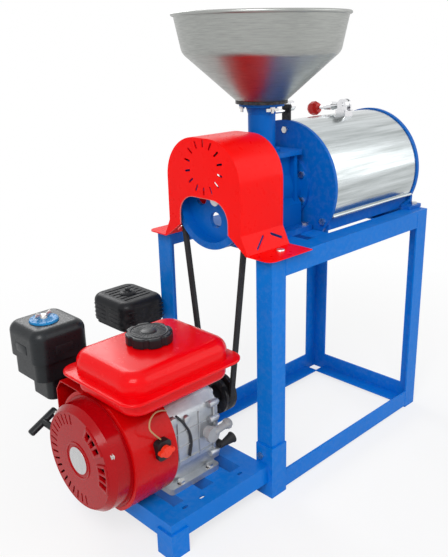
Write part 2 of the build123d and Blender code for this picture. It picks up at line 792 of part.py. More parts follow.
# Mill pulley: grooved rim, web with lightening holes, and a hub running back to the body
rim_start = belt_centre - pulley_rim_width / 2
rim_end = belt_centre + pulley_rim_width / 2
with BuildPart() as mill_pulley:
    with BuildSketch(shaft_plane):
        Polygon(*groove_points(mill_pulley_radius, pulley_rim_wall, rim_start, rim_end), align=None)
        with BuildLine():
            Polyline(
                (rim_end - pulley_web, shaft_radius + fit_gap),
                (rim_end - pulley_web, mill_pulley_radius - pulley_rim_wall + 1),
                (rim_end, mill_pulley_radius - pulley_rim_wall + 1),
                (rim_end, pulley_hub_radius),
                (rim_end - pulley_web + mill_pulley_hub, pulley_hub_radius),
                (rim_end - pulley_web + mill_pulley_hub, shaft_radius + fit_gap),
                close=True,
            )
        make_face()
    revolve(axis=shaft_line)
    with BuildSketch(facing_x(rim_end, axis_y, shaft_height)):
        with PolarLocations(web_hole_ring, web_hole_count, -90):
            Circle(web_hole_radius)
    extrude(amount=-pulley_web, mode=Mode.SUBTRACT)
mill_pulley.part.label = "mill_pulley"
export_step(mill_pulley.part, "parts/mill_pulley.step")

# Engine pulley, a solid one with its hub towards the engine
engine_pulley_hub = 30.0
with BuildPart() as engine_pulley:
    with BuildSketch(crank_plane):
        Polygon(*groove_points(engine_pulley_radius, pulley_rim_wall, rim_start, rim_end), align=None)
        with BuildLine():
            Polyline(
                (rim_start + 4, crank_radius + fit_gap),
                (rim_start + 4, engine_pulley_radius - pulley_rim_wall + 1),
                (rim_end, engine_pulley_radius - pulley_rim_wall + 1),
                (rim_end, crank_radius + fit_gap),
                close=True,
            )
        make_face()
        with BuildLine():
            Polyline(
                (rim_start + 5, crank_radius + fit_gap),
                (rim_start + 5, pulley_hub_radius),
                (rim_start - engine_pulley_hub, pulley_hub_radius),
                (rim_start - engine_pulley_hub, crank_radius + fit_gap),
                close=True,
            )
        make_face()
    revolve(axis=crank_line)
engine_pulley.part.label = "engine_pulley"
export_step(engine_pulley.part, "parts/engine_pulley.step")

# Vee belt round both pulleys
belt_top_mill = mill_pulley_radius + 0.5
belt_top_engine = engine_pulley_radius + 0.5
belt_centres = shaft_height - crank_height
belt_lean = degrees(asin((belt_top_mill - belt_top_engine) / belt_centres))
belt_half = belt_width / 2 - 0.3
belt_inner_half = belt_half - belt_thick * tan(radians(groove_slope))
with BuildPart() as drive_belt:
    with BuildLine(facing_x(belt_centre, axis_y, 0)) as belt_path:
        mill_arc = CenterArc((0, shaft_height), belt_top_mill, -belt_lean, 180 + 2 * belt_lean)
        engine_arc = CenterArc((0, crank_height), belt_top_engine, 180 + belt_lean, 180 - 2 * belt_lean)
        Line(mill_arc @ 1, engine_arc @ 0)
        Line(engine_arc @ 1, mill_arc @ 0)
    with BuildSketch(Plane(origin=mill_arc @ 0, x_dir=(1, 0, 0), z_dir=mill_arc % 0)):
        with BuildLine():
            Polyline(
                (-belt_half, 0), (belt_half, 0), (belt_inner_half, -belt_thick), (-belt_inner_half, -belt_thick),
                close=True,
            )
        make_face()
    sweep(path=belt_path.wire())
drive_belt.part.label = "drive_belt"
export_step(drive_belt.part, "parts/drive_belt.step")

# Outer grinding cone, bolted behind the front plate
cone_flange_thick = 7.0
cone_end = 318.0
with BuildPart() as outer_cone:
    with BuildSketch(shaft_plane):
        Polygon(
            (bar_start, body_bore + 2), (bar_start, body_flange_radius + 8),
            (bar_start + cone_flange_thick, body_flange_radius + 8), (bar_start + cone_flange_thick, 44),
            (cone_end, 72), (cone_end, 64), align=None,
        )
    revolve(axis=shaft_line)
    with BuildSketch(facing_x(bar_start, axis_y, shaft_height)):
        for turn in (body_bolt_turn, 180 - body_bolt_turn, 180 + body_bolt_turn, -body_bolt_turn):
            with PolarLocations(body_bolt_ring, 1, turn):
                Circle(hole_m8)
    extrude(amount=cone_flange_thick, mode=Mode.SUBTRACT)
outer_cone.part.label = "outer_cone"
export_step(outer_cone.part, "parts/outer_cone.step")

# Inner grinding cone, turned by the shaft
with BuildPart() as inner_cone:
    with BuildSketch(shaft_plane):
        Polygon(
            (screw_end + 3, shaft_body_radius + fit_gap), (screw_end + 3, 34), (cone_end, 61.5),
            (cone_end + 8, 61.5), (cone_end + 8, shaft_body_radius + fit_gap), align=None,
        )
    revolve(axis=shaft_line)
inner_cone.part.label = "inner_cone"
export_step(inner_cone.part, "parts/inner_cone.step")

# Brush rotor: two four armed hubs that carry long slats past the sieve
rotor_start = cone_end + 12
rotor_end = drum_end - 12
slat_radius = 100.0
slat_depth = 26.0
slat_width = 14.0
with BuildPart() as brush_rotor:
    for x in (rotor_start + 6, rotor_end - 18):
        with BuildSketch(facing_x(x, axis_y, shaft_height)):
            Circle(28)
            with PolarLocations(slat_radius / 2 - 6, 4):
                Rectangle(slat_radius - slat_depth, 16)
            Circle(shaft_body_radius + fit_gap, mode=Mode.SUBTRACT)
        extrude(amount=12)
    with BuildSketch(facing_x(rotor_start, axis_y, shaft_height)):
        with PolarLocations(slat_radius - slat_depth / 2, 4):
            Rectangle(slat_depth, slat_width)
    extrude(amount=rotor_end - rotor_start)
brush_rotor.part.label = "brush_rotor"
export_step(brush_rotor.part, "parts/brush_rotor.step")

# Sieve drum, held between the plates by a ring at each end
with BuildPart() as sieve_drum:
    with BuildSketch(facing_x(bar_start, axis_y, shaft_height)):
        Circle(sieve_radius)
        Circle(sieve_radius - sieve_wall, mode=Mode.SUBTRACT)
    extrude(amount=bar_run)
    for x in (bar_start, drum_end - 4):
        with BuildSketch(facing_x(x, axis_y, shaft_height)):
            with Locations((0, 0)):
                Circle(sieve_radius + 0.5)
                Circle(sieve_radius - sieve_wall - 2, mode=Mode.SUBTRACT)
        extrude(amount=4)
sieve_drum.part.label = "sieve_drum"
export_step(sieve_drum.part, "parts/sieve_drum.step")

# Bearing housing on the rear plate
housing_end = rear_plate_back + housing_length
spindle_radius = 9.0
with BuildPart() as rear_bearing_housing:
    with BuildSketch(shaft_plane):
        Polygon(
            (rear_plate_back, shaft_body_radius + 3), (rear_plate_back, housing_flange_radius),
            (rear_plate_back + housing_flange_thick, housing_flange_radius),
            (rear_plate_back + housing_flange_thick, housing_radius), (housing_end - 3, housing_radius),
            (housing_end, housing_radius - 3), (housing_end, spindle_radius + fit_gap),
            (housing_end - 5, spindle_radius + fit_gap), (housing_end - 5, bearing_radius),
            (tail_bearing_x, bearing_radius), (tail_bearing_x, shaft_body_radius + 3), align=None,
        )
    revolve(axis=shaft_line)
    with BuildSketch(facing_x(rear_plate_back, axis_y, shaft_height)):
        with PolarLocations(housing_flange_radius - 7, 4, 45):
            Circle(3.4)
    extrude(amount=housing_flange_thick, mode=Mode.SUBTRACT)
rear_bearing_housing.part.label = "rear_bearing_housing"
export_step(rear_bearing_housing.part, "parts/rear_bearing_housing.step")

# Hand wheel and spindle that set the gap between the grinding cones
wheel_start = housing_end + wheel_gap
with BuildPart() as adjust_wheel:
    with BuildSketch(facing_x(shaft_back + 0.5, axis_y, shaft_height)):
        Circle(spindle_radius)
    extrude(amount=wheel_start + wheel_width - shaft_back - 4)
    with BuildSketch(facing_x(wheel_start, axis_y, shaft_height)):
        Circle(15)
    extrude(amount=wheel_width)
    with BuildSketch(facing_x(wheel_start + 8, axis_y, shaft_height)):
        with PolarLocations(wheel_radius / 2, 3, 90):
            Rectangle(wheel_radius - 8, 11)
    extrude(amount=8)
    with BuildSketch(shaft_plane):
        with Locations((wheel_start + 12, wheel_radius - 6)):
            Circle(6)
    revolve(axis=shaft_line)
adjust_wheel.part.label = "adjust_wheel"
export_step(adjust_wheel.part, "parts/adjust_wheel.step")

# Bran spout, a sheet chute under the bearing housing
spout_wall = 1.5
spout_end = rear_plate_back + 46
spout_drop = 18.0
with BuildPart() as bran_spout:
    with BuildSketch(facing_y(0, axis_y, 0)):
        Polygon(
            (rear_plate_back, spout_low), (rear_plate_back, spout_high),
            (spout_end, spout_high - spout_drop), (spout_end, spout_low - spout_drop), align=None,
        )
    extrude(amount=spout_width / 2, both=True)
    with BuildSketch(facing_y(0, axis_y, 0)):
        Polygon(
            (rear_plate_back - 1, spout_low + spout_wall), (rear_plate_back - 1, spout_high - spout_wall),
            (spout_end + 1, spout_high - spout_drop - spout_wall), (spout_end + 1, spout_low - spout_drop + spout_wall),
            align=None,
        )
    extrude(amount=spout_width / 2 - spout_wall, both=True, mode=Mode.SUBTRACT)
    with BuildSketch(facing_x(rear_plate_back, axis_y, (spout_low + spout_high) / 2)):
        Rectangle(spout_width + 24, spout_high - spout_low + 8)
        Rectangle(spout_width - 2 * spout_wall, spout_high - spout_low - 2 * spout_wall, mode=Mode.SUBTRACT)
    extrude(amount=2)
bran_spout.part.label = "bran_spout"
export_step(bran_spout.part, "parts/bran_spout.step")

# Bolts of the mill: casting to front plate and cone, foot to cross members, plates to bars, housing
with BuildPart() as mill_bolts:
    add(hopper_wing_bolts.part)
    add(cover_hinge_pins.part)
    for turn in (body_bolt_turn, 180 - body_bolt_turn, 180 + body_bolt_turn, -body_bolt_turn):
        y = axis_y + body_bolt_ring * cos(radians(turn))
        z = shaft_height + body_bolt_ring * sin(radians(turn))
        head_x = body_end - body_flange_thick
        nut_x = bar_start + cone_flange_thick
        add(hex_bolt(Plane(origin=at(head_x, y, z), x_dir=(0, 1, 0), z_dir=(-1, 0, 0)), bolt_m8, nut_x - head_x))
        add(hex_bolt(Plane(origin=at(nut_x, y, z), x_dir=(0, 1, 0), z_dir=(1, 0, 0)), bolt_m8, 1))
    for side, rise in tie_bolts:
        place = (axis_y + side, shaft_height + rise)
        add(hex_bolt(Plane(origin=at(drum_start, *place), x_dir=(0, 1, 0), z_dir=(-1, 0, 0)), bolt_m8, 20))
        add(hex_bolt(Plane(origin=at(rear_plate_back, *place), x_dir=(0, 1, 0), z_dir=(1, 0, 0)), bolt_m8, 20))
    for x, y in foot_bolts:
        for side in (-1, 1):
            add(hex_bolt(facing_z(x, axis_y + side * y, stand_height + foot_plate_thick), bolt_m8, 22))
    for turn in (45, 135, 225, 315):
        y = axis_y + (housing_flange_radius - 7) * cos(radians(turn))
        z = shaft_height + (housing_flange_radius - 7) * sin(radians(turn))
        add(hex_bolt(facing_x(rear_plate_back + housing_flange_thick, y, z), 3, 16))

    # Bolts of the stand: the guard's round heads, the rear plate's feet and the base's brackets
    for x, y in guard_bolts:
        add(round_bolt(facing_z(x, y, stand_height + guard_wall), 9, 3.5, guard_wall + angle_wall + 9))
    for x, y in rear_foot_bolts:
        add(hex_bolt(facing_z(x, y, stand_height + foot_flange_thick), bolt_m8, foot_flange_thick + 12))
    for y in (27.0, stand_width - 27.0):
        front = Plane(origin=at(-angle_wall, y, bracket_bolt_height), x_dir=(0, 1, 0), z_dir=(-1, 0, 0))
        add(hex_bolt(front, bolt_m8, 2 * angle_wall + 8))
mill_bolts.part.label = "mill_bolts"
export_step(mill_bolts.part, "parts/mill_bolts.step")


def guard_outline(inset):
    """Upright outline of the belt guard, drawn in by an inset, about the middle plane."""
    lean = inset * sqrt((guard_foot_inner - guard_half) ** 2 + (guard_crease - stand_height) ** 2)
    lean = lean / (guard_crease - stand_height)
    return (
        (-guard_foot_inner + lean, stand_height),
        (-guard_half + inset, guard_crease),
        (-guard_half + inset, guard_top - inset),
        (guard_half - inset, guard_top - inset),
        (guard_half - inset, guard_crease),
        (guard_foot_inner - lean, stand_height),
    )


def guard_face(plane, inset):
    """Face inside the guard's outline, with its two round shoulders."""
    with BuildSketch(plane) as face:
        Polygon(*guard_outline(inset), align=None)
        top = face.vertices().sort_by(Axis.Y)[-2:]
        fillet(top, guard_corner - inset)
    return face.sketch


# Belt guard: a bent band with a front sheet, an arch over the pulley and two feet
guard_back = guard_front + guard_depth
guard_shell = guard_face(facing_x(guard_front, axis_y, 0), 0)
guard_inside = guard_face(facing_x(guard_front + guard_wall, axis_y, 0), guard_wall)
with BuildPart() as belt_guard:
    extrude(guard_shell, amount=guard_depth)
    extrude(guard_inside, amount=guard_depth, mode=Mode.SUBTRACT)
    with BuildSketch(facing_x(guard_front, axis_y, 0)) as arch:
        Polygon(
            (-guard_foot_inner + 5, stand_height), (-arch_half, arch_spring), (-arch_half, arch_top),
            (arch_half, arch_top), (arch_half, arch_spring), (guard_foot_inner - 5, stand_height), align=None,
        )
        fillet(arch.vertices().sort_by(Axis.Y)[-2:], arch_corner)
    extrude(amount=guard_wall, mode=Mode.SUBTRACT)
    with BuildSketch(facing_x(guard_front, axis_y - 4, vent_ring_height)):
        with PolarLocations(vent_ring_radius, vent_count, 90):
            SlotOverall(vent_length, vent_width)
    extrude(amount=guard_wall, mode=Mode.SUBTRACT)
    with BuildSketch(facing_y(0, axis_y, 0)):
        with Locations((guard_front + 45, stand_height + 18)):
            SlotOverall(36, 5, rotation=37)
        with Locations((guard_front + 93, stand_height + 22)):
            SlotOverall(32, 5, rotation=-25)
    extrude(amount=guard_foot_outer, both=True, mode=Mode.SUBTRACT)
    with BuildSketch(facing_z(guard_front, axis_y, stand_height)) as feet:
        for side in (-1, 1):
            with Locations((guard_depth / 2, side * (guard_foot_inner + guard_foot_outer - 1) / 2)):
                Rectangle(guard_depth, guard_foot_outer - guard_foot_inner + 1)
        fillet(feet.vertices().filter_by_position(Axis.X, -1, 1).sort_by(Axis.Y)[0:4:3], 18)
        for x, y in guard_bolts:
            with Locations((x - guard_front, y - axis_y)):
                Circle(hole_m8, mode=Mode.SUBTRACT)
    extrude(amount=guard_wall)
belt_guard.part.label = "belt_guard"
export_step(belt_guard.part, "parts/belt_guard.step")

# Engine bolts of the foot and the side cover
case_end = engine_face - side_cover_thick
case_start = case_end - case_length
foot_top = base_height + engine_foot_thick
with BuildPart() as engine_bolts:
    for x in engine_bolt_x:
        for side in (-1, 1):
            add(hex_bolt(facing_z(x, axis_y + side * engine_bolt_side, foot_top), bolt_m8, engine_foot_thick + 12))
    for turn in (45, 135, 225, 315):
        y = axis_y + 66 * cos(radians(turn))
        z = crank_height + 66 * sin(radians(turn))
        add(hex_bolt(facing_x(engine_face, y, z), 3, side_cover_thick + 10))
engine_bolts.part.label = "engine_bolts"
export_step(engine_bolts.part, "parts/engine_bolts.step")

# Crankcase of the engine, with its foot and an opening for the cylinder
with BuildPart() as engine_crankcase:
    with BuildSketch(facing_x(case_start, axis_y, 0)) as case_outline:
        Polygon(
            (-case_near + 6, foot_top - 2), (-case_near, 118), (-case_near, 222), (-52, case_top - 14),
            (30, case_top), (case_far, 235), (case_far, 118), (case_far - 6, foot_top - 2), align=None,
        )
        fillet(case_outline.vertices().sort_by(Axis.Y)[4:], 22)
    extrude(amount=case_length)
    with BuildSketch(facing_z((case_start + case_end) / 2, axis_y, base_height)):
        RectangleRounded(case_length - 2, 2 * engine_bolt_side + 18, 9)
        with GridLocations(engine_bolt_x[1] - engine_bolt_x[0], 2 * engine_bolt_side, 2, 2):
            Circle(hole_m8, mode=Mode.SUBTRACT)
    extrude(amount=engine_foot_thick)
    with BuildSketch(facing_x(case_start, axis_y, crank_height)):
        Circle(crank_radius + fit_gap)
    extrude(amount=case_length, mode=Mode.SUBTRACT)
    add(engine_bolts.part, mode=Mode.SUBTRACT)
engine_crankcase.part.label = "engine_crankcase"
export_step(engine_crankcase.part, "parts/engine_crankcase.step")

# Side cover on the drive side, with the shaft's boss
with BuildPart() as side_cover:
    with BuildSketch(facing_x(case_end, axis_y, 0)) as side_outline:
        Polygon(
            (-case_near + 4, foot_top + 4), (-case_near + 4, 214), (-48, case_top - 18),
            (26, case_top - 12), (case_far - 6, 226), (case_far - 6, foot_top + 4), align=None,
        )
        fillet(side_outline.vertices().sort_by(Axis.Y)[2:], 24)
    extrude(amount=side_cover_thick - 6)
    with BuildSketch(facing_x(case_end, axis_y, crank_height)):
        Circle(50)
    extrude(amount=side_cover_thick - 3)
    with BuildSketch(facing_x(case_end, axis_y, crank_height)):
        Circle(27)
    extrude(amount=side_cover_thick)
    with BuildSketch(facing_x(case_end, axis_y, crank_height)):
        with PolarLocations(66, 4, 45):
            Circle(9)
    extrude(amount=side_cover_thick)
    with BuildSketch(facing_x(case_end, axis_y, crank_height)):
        Circle(crank_radius + fit_gap)
    extrude(amount=side_cover_thick, mode=Mode.SUBTRACT)
    add(engine_bolts.part, mode=Mode.SUBTRACT)
side_cover.part.label = "side_cover"
export_step(side_cover.part, "parts/side_cover.step")

# Finned cylinder, leaning back from level, and its head
cylinder_plane = Plane(
    origin=at((case_start + case_end) / 2, axis_y, crank_height),
    x_dir=(1, 0, 0),
    z_dir=(0, cos(radians(cylinder_tilt)), sin(radians(cylinder_tilt))),
)
barrel_end = 142.0
head_end = 178.0
cover_end = 202.0
fin_pitch = 8.0
fin_thick = 2.5
with BuildPart() as cylinder_barrel:
    with BuildSketch(cylinder_plane.offset(case_far)):
        RectangleRounded(92, 78, 10)
    extrude(amount=barrel_end - case_far)
    for place in range(4):
        with BuildSketch(cylinder_plane.offset(barrel_end - 2 - fin_thick - place * fin_pitch)):
            RectangleRounded(116, 104, 8)
        extrude(amount=fin_thick)
    add(engine_crankcase.part, mode=Mode.SUBTRACT)
cylinder_barrel.part.label = "cylinder_barrel"
export_step(cylinder_barrel.part, "parts/cylinder_barrel.step")
with BuildPart() as cylinder_head:
    with BuildSketch(cylinder_plane.offset(barrel_end)):
        RectangleRounded(96, 84, 8)
    extrude(amount=head_end - barrel_end)
    for place in range(4):
        with BuildSketch(cylinder_plane.offset(barrel_end + 3 + place * fin_pitch)):
            RectangleRounded(118, 104, 8)
        extrude(amount=fin_thick)
cylinder_head.part.label = "cylinder_head"
export_step(cylinder_head.part, "parts/cylinder_head.step")
with BuildPart() as valve_cover:
    with BuildSketch(cylinder_plane.offset(head_end)):
        RectangleRounded(84, 66, 12)
    extrude(amount=4)
    with BuildSketch(cylinder_plane.offset(head_end + 4)):
        RectangleRounded(72, 54, 12)
    extrude(amount=cover_end - head_end - 4)
    fillet(valve_cover.faces().sort_by(Axis(cylinder_plane.origin, cylinder_plane.z_dir))[-1].edges(), 6)
valve_cover.part.label = "valve_cover"
export_step(valve_cover.part, "parts/valve_cover.step")

# Fan housing, a sheet shell round the flywheel that leads air to the cylinder
housing_start = case_start - housing_depth
sheet = 2.0


def fan_outline(plane, inset):
    """Outline of the fan housing: a flattened circle with a channel to the cylinder."""
    with BuildSketch(plane) as face:
        Circle(fan_radius - inset)
        with BuildLine():
            Polyline(
                (-40, 60), (-40, fan_radius - inset), (104 - inset, fan_radius - inset),
                (128 - inset, 84), (128 - inset, -10 + inset), (60, -10 + inset), close=True,
            )
        make_face()
        with Locations((0, base_height + 3 + inset - crank_height - fan_radius)):
            Rectangle(4 * fan_radius, 2 * fan_radius, mode=Mode.SUBTRACT)
        with Locations((0, fan_housing_top - inset - crank_height + fan_radius)):
            Rectangle(4 * fan_radius, 2 * fan_radius, mode=Mode.SUBTRACT)
    return face.sketch


fan_outer = fan_outline(facing_x(housing_start, axis_y, crank_height), 0)
fan_inner = fan_outline(facing_x(housing_start, axis_y, crank_height), sheet)
with BuildPart() as fan_housing:
    extrude(fan_outer, amount=housing_depth)
    extrude(fan_inner, amount=housing_depth - sheet, mode=Mode.SUBTRACT)
    with BuildSketch(facing_x(case_start, axis_y, crank_height)):
        Circle(30)
    extrude(amount=-sheet, mode=Mode.SUBTRACT)
fan_housing.part.label = "fan_housing"
export_step(fan_housing.part, "parts/fan_housing.step")

# Recoil starter cover with radial louvres
recoil_start = housing_start - recoil_depth
louvre_ring = 80.0
with BuildPart() as recoil_cover:
    with BuildSketch(crank_plane):
        Polygon(
            (housing_start, recoil_radius - recoil_wall), (housing_start, recoil_radius + 4),
            (housing_start - 3, recoil_radius + 4), (housing_start - 3, recoil_radius),
            (recoil_start + 12, recoil_radius - 2), (recoil_start, recoil_radius - 11),
            (recoil_start, 0), (recoil_start + recoil_wall, 0),
            (recoil_start + recoil_wall, recoil_radius - 12), (recoil_start + 13, recoil_radius - 2 - recoil_wall),
            align=None,
        )
    revolve(axis=crank_line)
    with BuildSketch(facing_x(recoil_start, axis_y, crank_height)):
        for turn in range(-100, 90, 10):
            with PolarLocations(louvre_ring, 1, turn):
                SlotOverall(20, 4)
        for turn in (122, 133, 144, 169, 180, 191):
            with PolarLocations(louvre_ring, 1, turn):
                SlotOverall(18, 9)
    extrude(amount=recoil_wall, mode=Mode.SUBTRACT)
    with BuildSketch(facing_x(recoil_start, axis_y, crank_height)):
        Circle(28)
    extrude(amount=-1)
    with BuildSketch(facing_x(recoil_start + recoil_wall, axis_y, crank_height)):
        Circle(9)
    extrude(amount=20)
    with BuildSketch(facing_far(recoil_start + 21, axis_y + 90, 190)):
        Circle(9)
    extrude(amount=20)
    with BuildSketch(facing_far(recoil_start + 21, axis_y + 60, 190)):
        Circle(4)
    extrude(amount=60, mode=Mode.SUBTRACT)
recoil_cover.part.label = "recoil_cover"
export_step(recoil_cover.part, "parts/recoil_cover.step")

# Rope reel inside the recoil cover, on its fixed pin
reel_radius = 48.0
with BuildPart() as starter_reel:
    with BuildSketch(crank_plane):
        Polygon(
            (recoil_start + recoil_wall + 2, 9 + fit_gap), (recoil_start + recoil_wall + 2, reel_radius),
            (recoil_start + recoil_wall + 5, reel_radius), (recoil_start + recoil_wall + 6, reel_radius - 12),
            (recoil_start + recoil_wall + 14, reel_radius - 12), (recoil_start + recoil_wall + 15, reel_radius),
            (recoil_start + recoil_wall + 18, reel_radius), (recoil_start + recoil_wall + 18, 9 + fit_gap),
            align=None,
        )
    revolve(axis=crank_line)
starter_reel.part.label = "starter_reel"
export_step(starter_reel.part, "parts/starter_reel.step")

# Starter grip: a bar across a short stem, resting against the cover's boss
grip_y = axis_y + 110.5
grip_x = recoil_start + 21
grip_height = 190.0
with BuildPart() as starter_grip:
    with BuildSketch(facing_far(grip_x, grip_y, grip_height)):
        Circle(7)
    extrude(amount=40)
    with BuildSketch(
        Plane(origin=at(grip_x, grip_y + 44, grip_height), x_dir=(0, 1, 0), z_dir=(-0.89, 0, -0.45))
    ):
        Ellipse(9, 7)
    extrude(amount=34, both=True)
    fillet(starter_grip.edges().filter_by(GeomType.ELLIPSE), 4)
starter_grip.part.label = "starter_grip"
export_step(starter_grip.part, "parts/starter_grip.step")

# Crankshaft and flywheel with its fan blades
flywheel_x = case_start - 40
with BuildPart() as crankshaft:
    with BuildSketch(facing_x(flywheel_x - 22, axis_y, crank_height)):
        Circle(crank_radius)
    extrude(amount=belt_centre + 6 - flywheel_x + 22)
crankshaft.part.label = "crankshaft"
export_step(crankshaft.part, "parts/crankshaft.step")
with BuildPart() as flywheel_fan:
    with BuildSketch(facing_x(flywheel_x, axis_y, crank_height)):
        Circle(98)
        Circle(crank_radius + fit_gap, mode=Mode.SUBTRACT)
    extrude(amount=10)
    with BuildSketch(facing_x(flywheel_x, axis_y, crank_height)):
        Circle(24)
        Circle(crank_radius + fit_gap, mode=Mode.SUBTRACT)
    extrude(amount=30)
    with BuildSketch(facing_x(flywheel_x, axis_y, crank_height)):
        with PolarLocations(78, 16):
            Rectangle(36, 3)
    extrude(amount=-24)
flywheel_fan.part.label = "flywheel_fan"
export_step(flywheel_fan.part, "parts/flywheel_fan.step")

# Fuel tank: two pressed halves on a rolled seam, with a filler neck
tank_x = tank_front + tank_length / 2
tank_y = tank_near + tank_width / 2
neck_hole = 24.0
with BuildPart() as fuel_tank:
    with BuildSketch(facing_z(tank_x, tank_y, tank_bottom)):
        RectangleRounded(tank_length - 22, tank_width - 22, 36)
    extrude(amount=tank_seam - tank_bottom)
    fillet(fuel_tank.faces().sort_by(Axis.Z)[0].edges(), 14)
    with BuildSketch(facing_z(tank_x, tank_y, tank_seam)):
        RectangleRounded(tank_length - 16, tank_width - 16, 40)
    extrude(amount=tank_top - tank_seam)
    fillet(fuel_tank.faces().sort_by(Axis.Z)[-1].edges(), 24)
    with BuildSketch(facing_z(tank_x, tank_y, tank_seam - 3)):
        RectangleRounded(tank_length, tank_width, 46)
    extrude(amount=6)
    with BuildSketch(facing_z(cap_x, cap_y, tank_top - 4)):
        Circle(neck_hole + 3)
    extrude(amount=8)
    with BuildSketch(facing_z(tank_x, tank_y, tank_bottom + 4)):
        RectangleRounded(tank_length - 40, tank_width - 40, 26)
    extrude(amount=tank_top - tank_bottom - 12, mode=Mode.SUBTRACT)
    with BuildSketch(facing_z(cap_x, cap_y, tank_top - 12)):
        Circle(neck_hole)
    extrude(amount=20, mode=Mode.SUBTRACT)
fuel_tank.part.label = "fuel_tank"
export_step(fuel_tank.part, "parts/fuel_tank.step")

# Fuel cap with a lobed rim
with BuildPart() as fuel_cap:
    with BuildSketch(facing_z(cap_x, cap_y, tank_top + 2)):
        Circle(cap_radius)
        with PolarLocations(cap_radius + 4, 8):
            Circle(8, mode=Mode.SUBTRACT)
    extrude(amount=cap_height)
    fillet(fuel_cap.faces().sort_by(Axis.Z)[-1].edges(), 3)
    with BuildSketch(facing_z(cap_x, cap_y, tank_top + 2)):
        Circle(neck_hole + 3 + side_gap)
    extrude(amount=4.5, mode=Mode.SUBTRACT)
fuel_cap.part.label = "fuel_cap"
export_step(fuel_cap.part, "parts/fuel_cap.step")

# Tank brackets on the fan housing and the crankcase
throttle_x = case_start + 55
throttle_y = axis_y + 79.0
throttle_z = 285.0
with BuildPart() as engine_brackets:
    with BuildSketch(facing_z(housing_start + 34, axis_y, fan_housing_top)):
        Rectangle(24, 60)
    extrude(amount=tank_bottom - fan_housing_top)
    with BuildSketch(facing_z(case_end - 30, axis_y - 4, case_top - 12)):
        Rectangle(26, 4)
    extrude(amount=tank_bottom - case_top + 12)
    with BuildSketch(facing_z(case_end - 30, axis_y + 8, tank_bottom)):
        Rectangle(26, 28)
    extrude(amount=-3)
    with BuildSketch(facing_z(throttle_x, axis_y + 30, case_top - 12)):
        Rectangle(28, 10)
    extrude(amount=throttle_z - case_top + 12)
    with BuildSketch(facing_z(throttle_x, axis_y + 56, throttle_z)):
        Rectangle(28, 62)
    extrude(amount=-3)
    with BuildSketch(facing_z(throttle_x, throttle_y, throttle_z)):
        Circle(3)
    extrude(amount=7)
    add(engine_crankcase.part, mode=Mode.SUBTRACT)
engine_brackets.part.label = "engine_brackets"
export_step(engine_brackets.part, "parts/engine_brackets.step")

# Air cleaner: base, cover and hand knob
cleaner_plane_z = cleaner_seam
with BuildPart() as air_cleaner_base:
    with BuildSketch(facing_z(cleaner_x, cleaner_y, cleaner_seam)):
        RectangleRounded(cleaner_length - 12, cleaner_width - 12, 22)
    extrude(amount=-40)
    with BuildSketch(facing_z(cleaner_x + 8, cleaner_y, cleaner_seam - 40)):
        RectangleRounded(cleaner_length - 46, cleaner_width - 44, 16)
    extrude(amount=-50)
air_cleaner_base.part.label = "air_cleaner_base"
export_step(air_cleaner_base.part, "parts/air_cleaner_base.step")
with BuildPart() as air_cleaner_cover:
    with BuildSketch(facing_z(cleaner_x, cleaner_y, cleaner_seam)):
        RectangleRounded(cleaner_length, cleaner_width, 26)
    extrude(amount=cleaner_top - cleaner_seam)
    fillet(air_cleaner_cover.faces().sort_by(Axis.Z)[-1].edges(), 20)
air_cleaner_cover.part.label = "air_cleaner_cover"
export_step(air_cleaner_cover.part, "parts/air_cleaner_cover.step")
with BuildPart() as cleaner_knob:
    with BuildSketch(facing_z(cleaner_x - 6, cleaner_y - 2, cleaner_top)):
        Circle(cleaner_knob_radius)
    extrude(amount=5)
    fillet(cleaner_knob.faces().sort_by(Axis.Z)[-1].edges(), 3)
    with BuildSketch(facing_z(cleaner_x - 6, cleaner_y - 2, cleaner_top + 5)):
        Circle(8)
    extrude(amount=7)
    with BuildSketch(facing_z(cleaner_x - 6, cleaner_y - 2, cleaner_top + 8)):
        Rectangle(38, 4)
    extrude(amount=9)
cleaner_knob.part.label = "cleaner_knob"
export_step(cleaner_knob.part, "parts/cleaner_knob.step")

# Carburettor with its choke, throttle and fuel levers
carb_y = axis_y + 155
carb_start = cleaner_x + 8 + (cleaner_length - 46) / 2
carb_z = 248.0
head_side = case_start + 6
with BuildPart() as carburettor:
    with BuildSketch(facing_x(carb_start, carb_y, carb_z)):
        RectangleRounded(46, 40, 6)
    extrude(amount=head_side - carb_start)
    with BuildSketch(facing_z(carb_start + 14, carb_y, carb_z - 20)):
        Circle(15)
    extrude(amount=-26)
carburettor.part.label = "carburettor"
export_step(carburettor.part, "parts/carburettor.step")

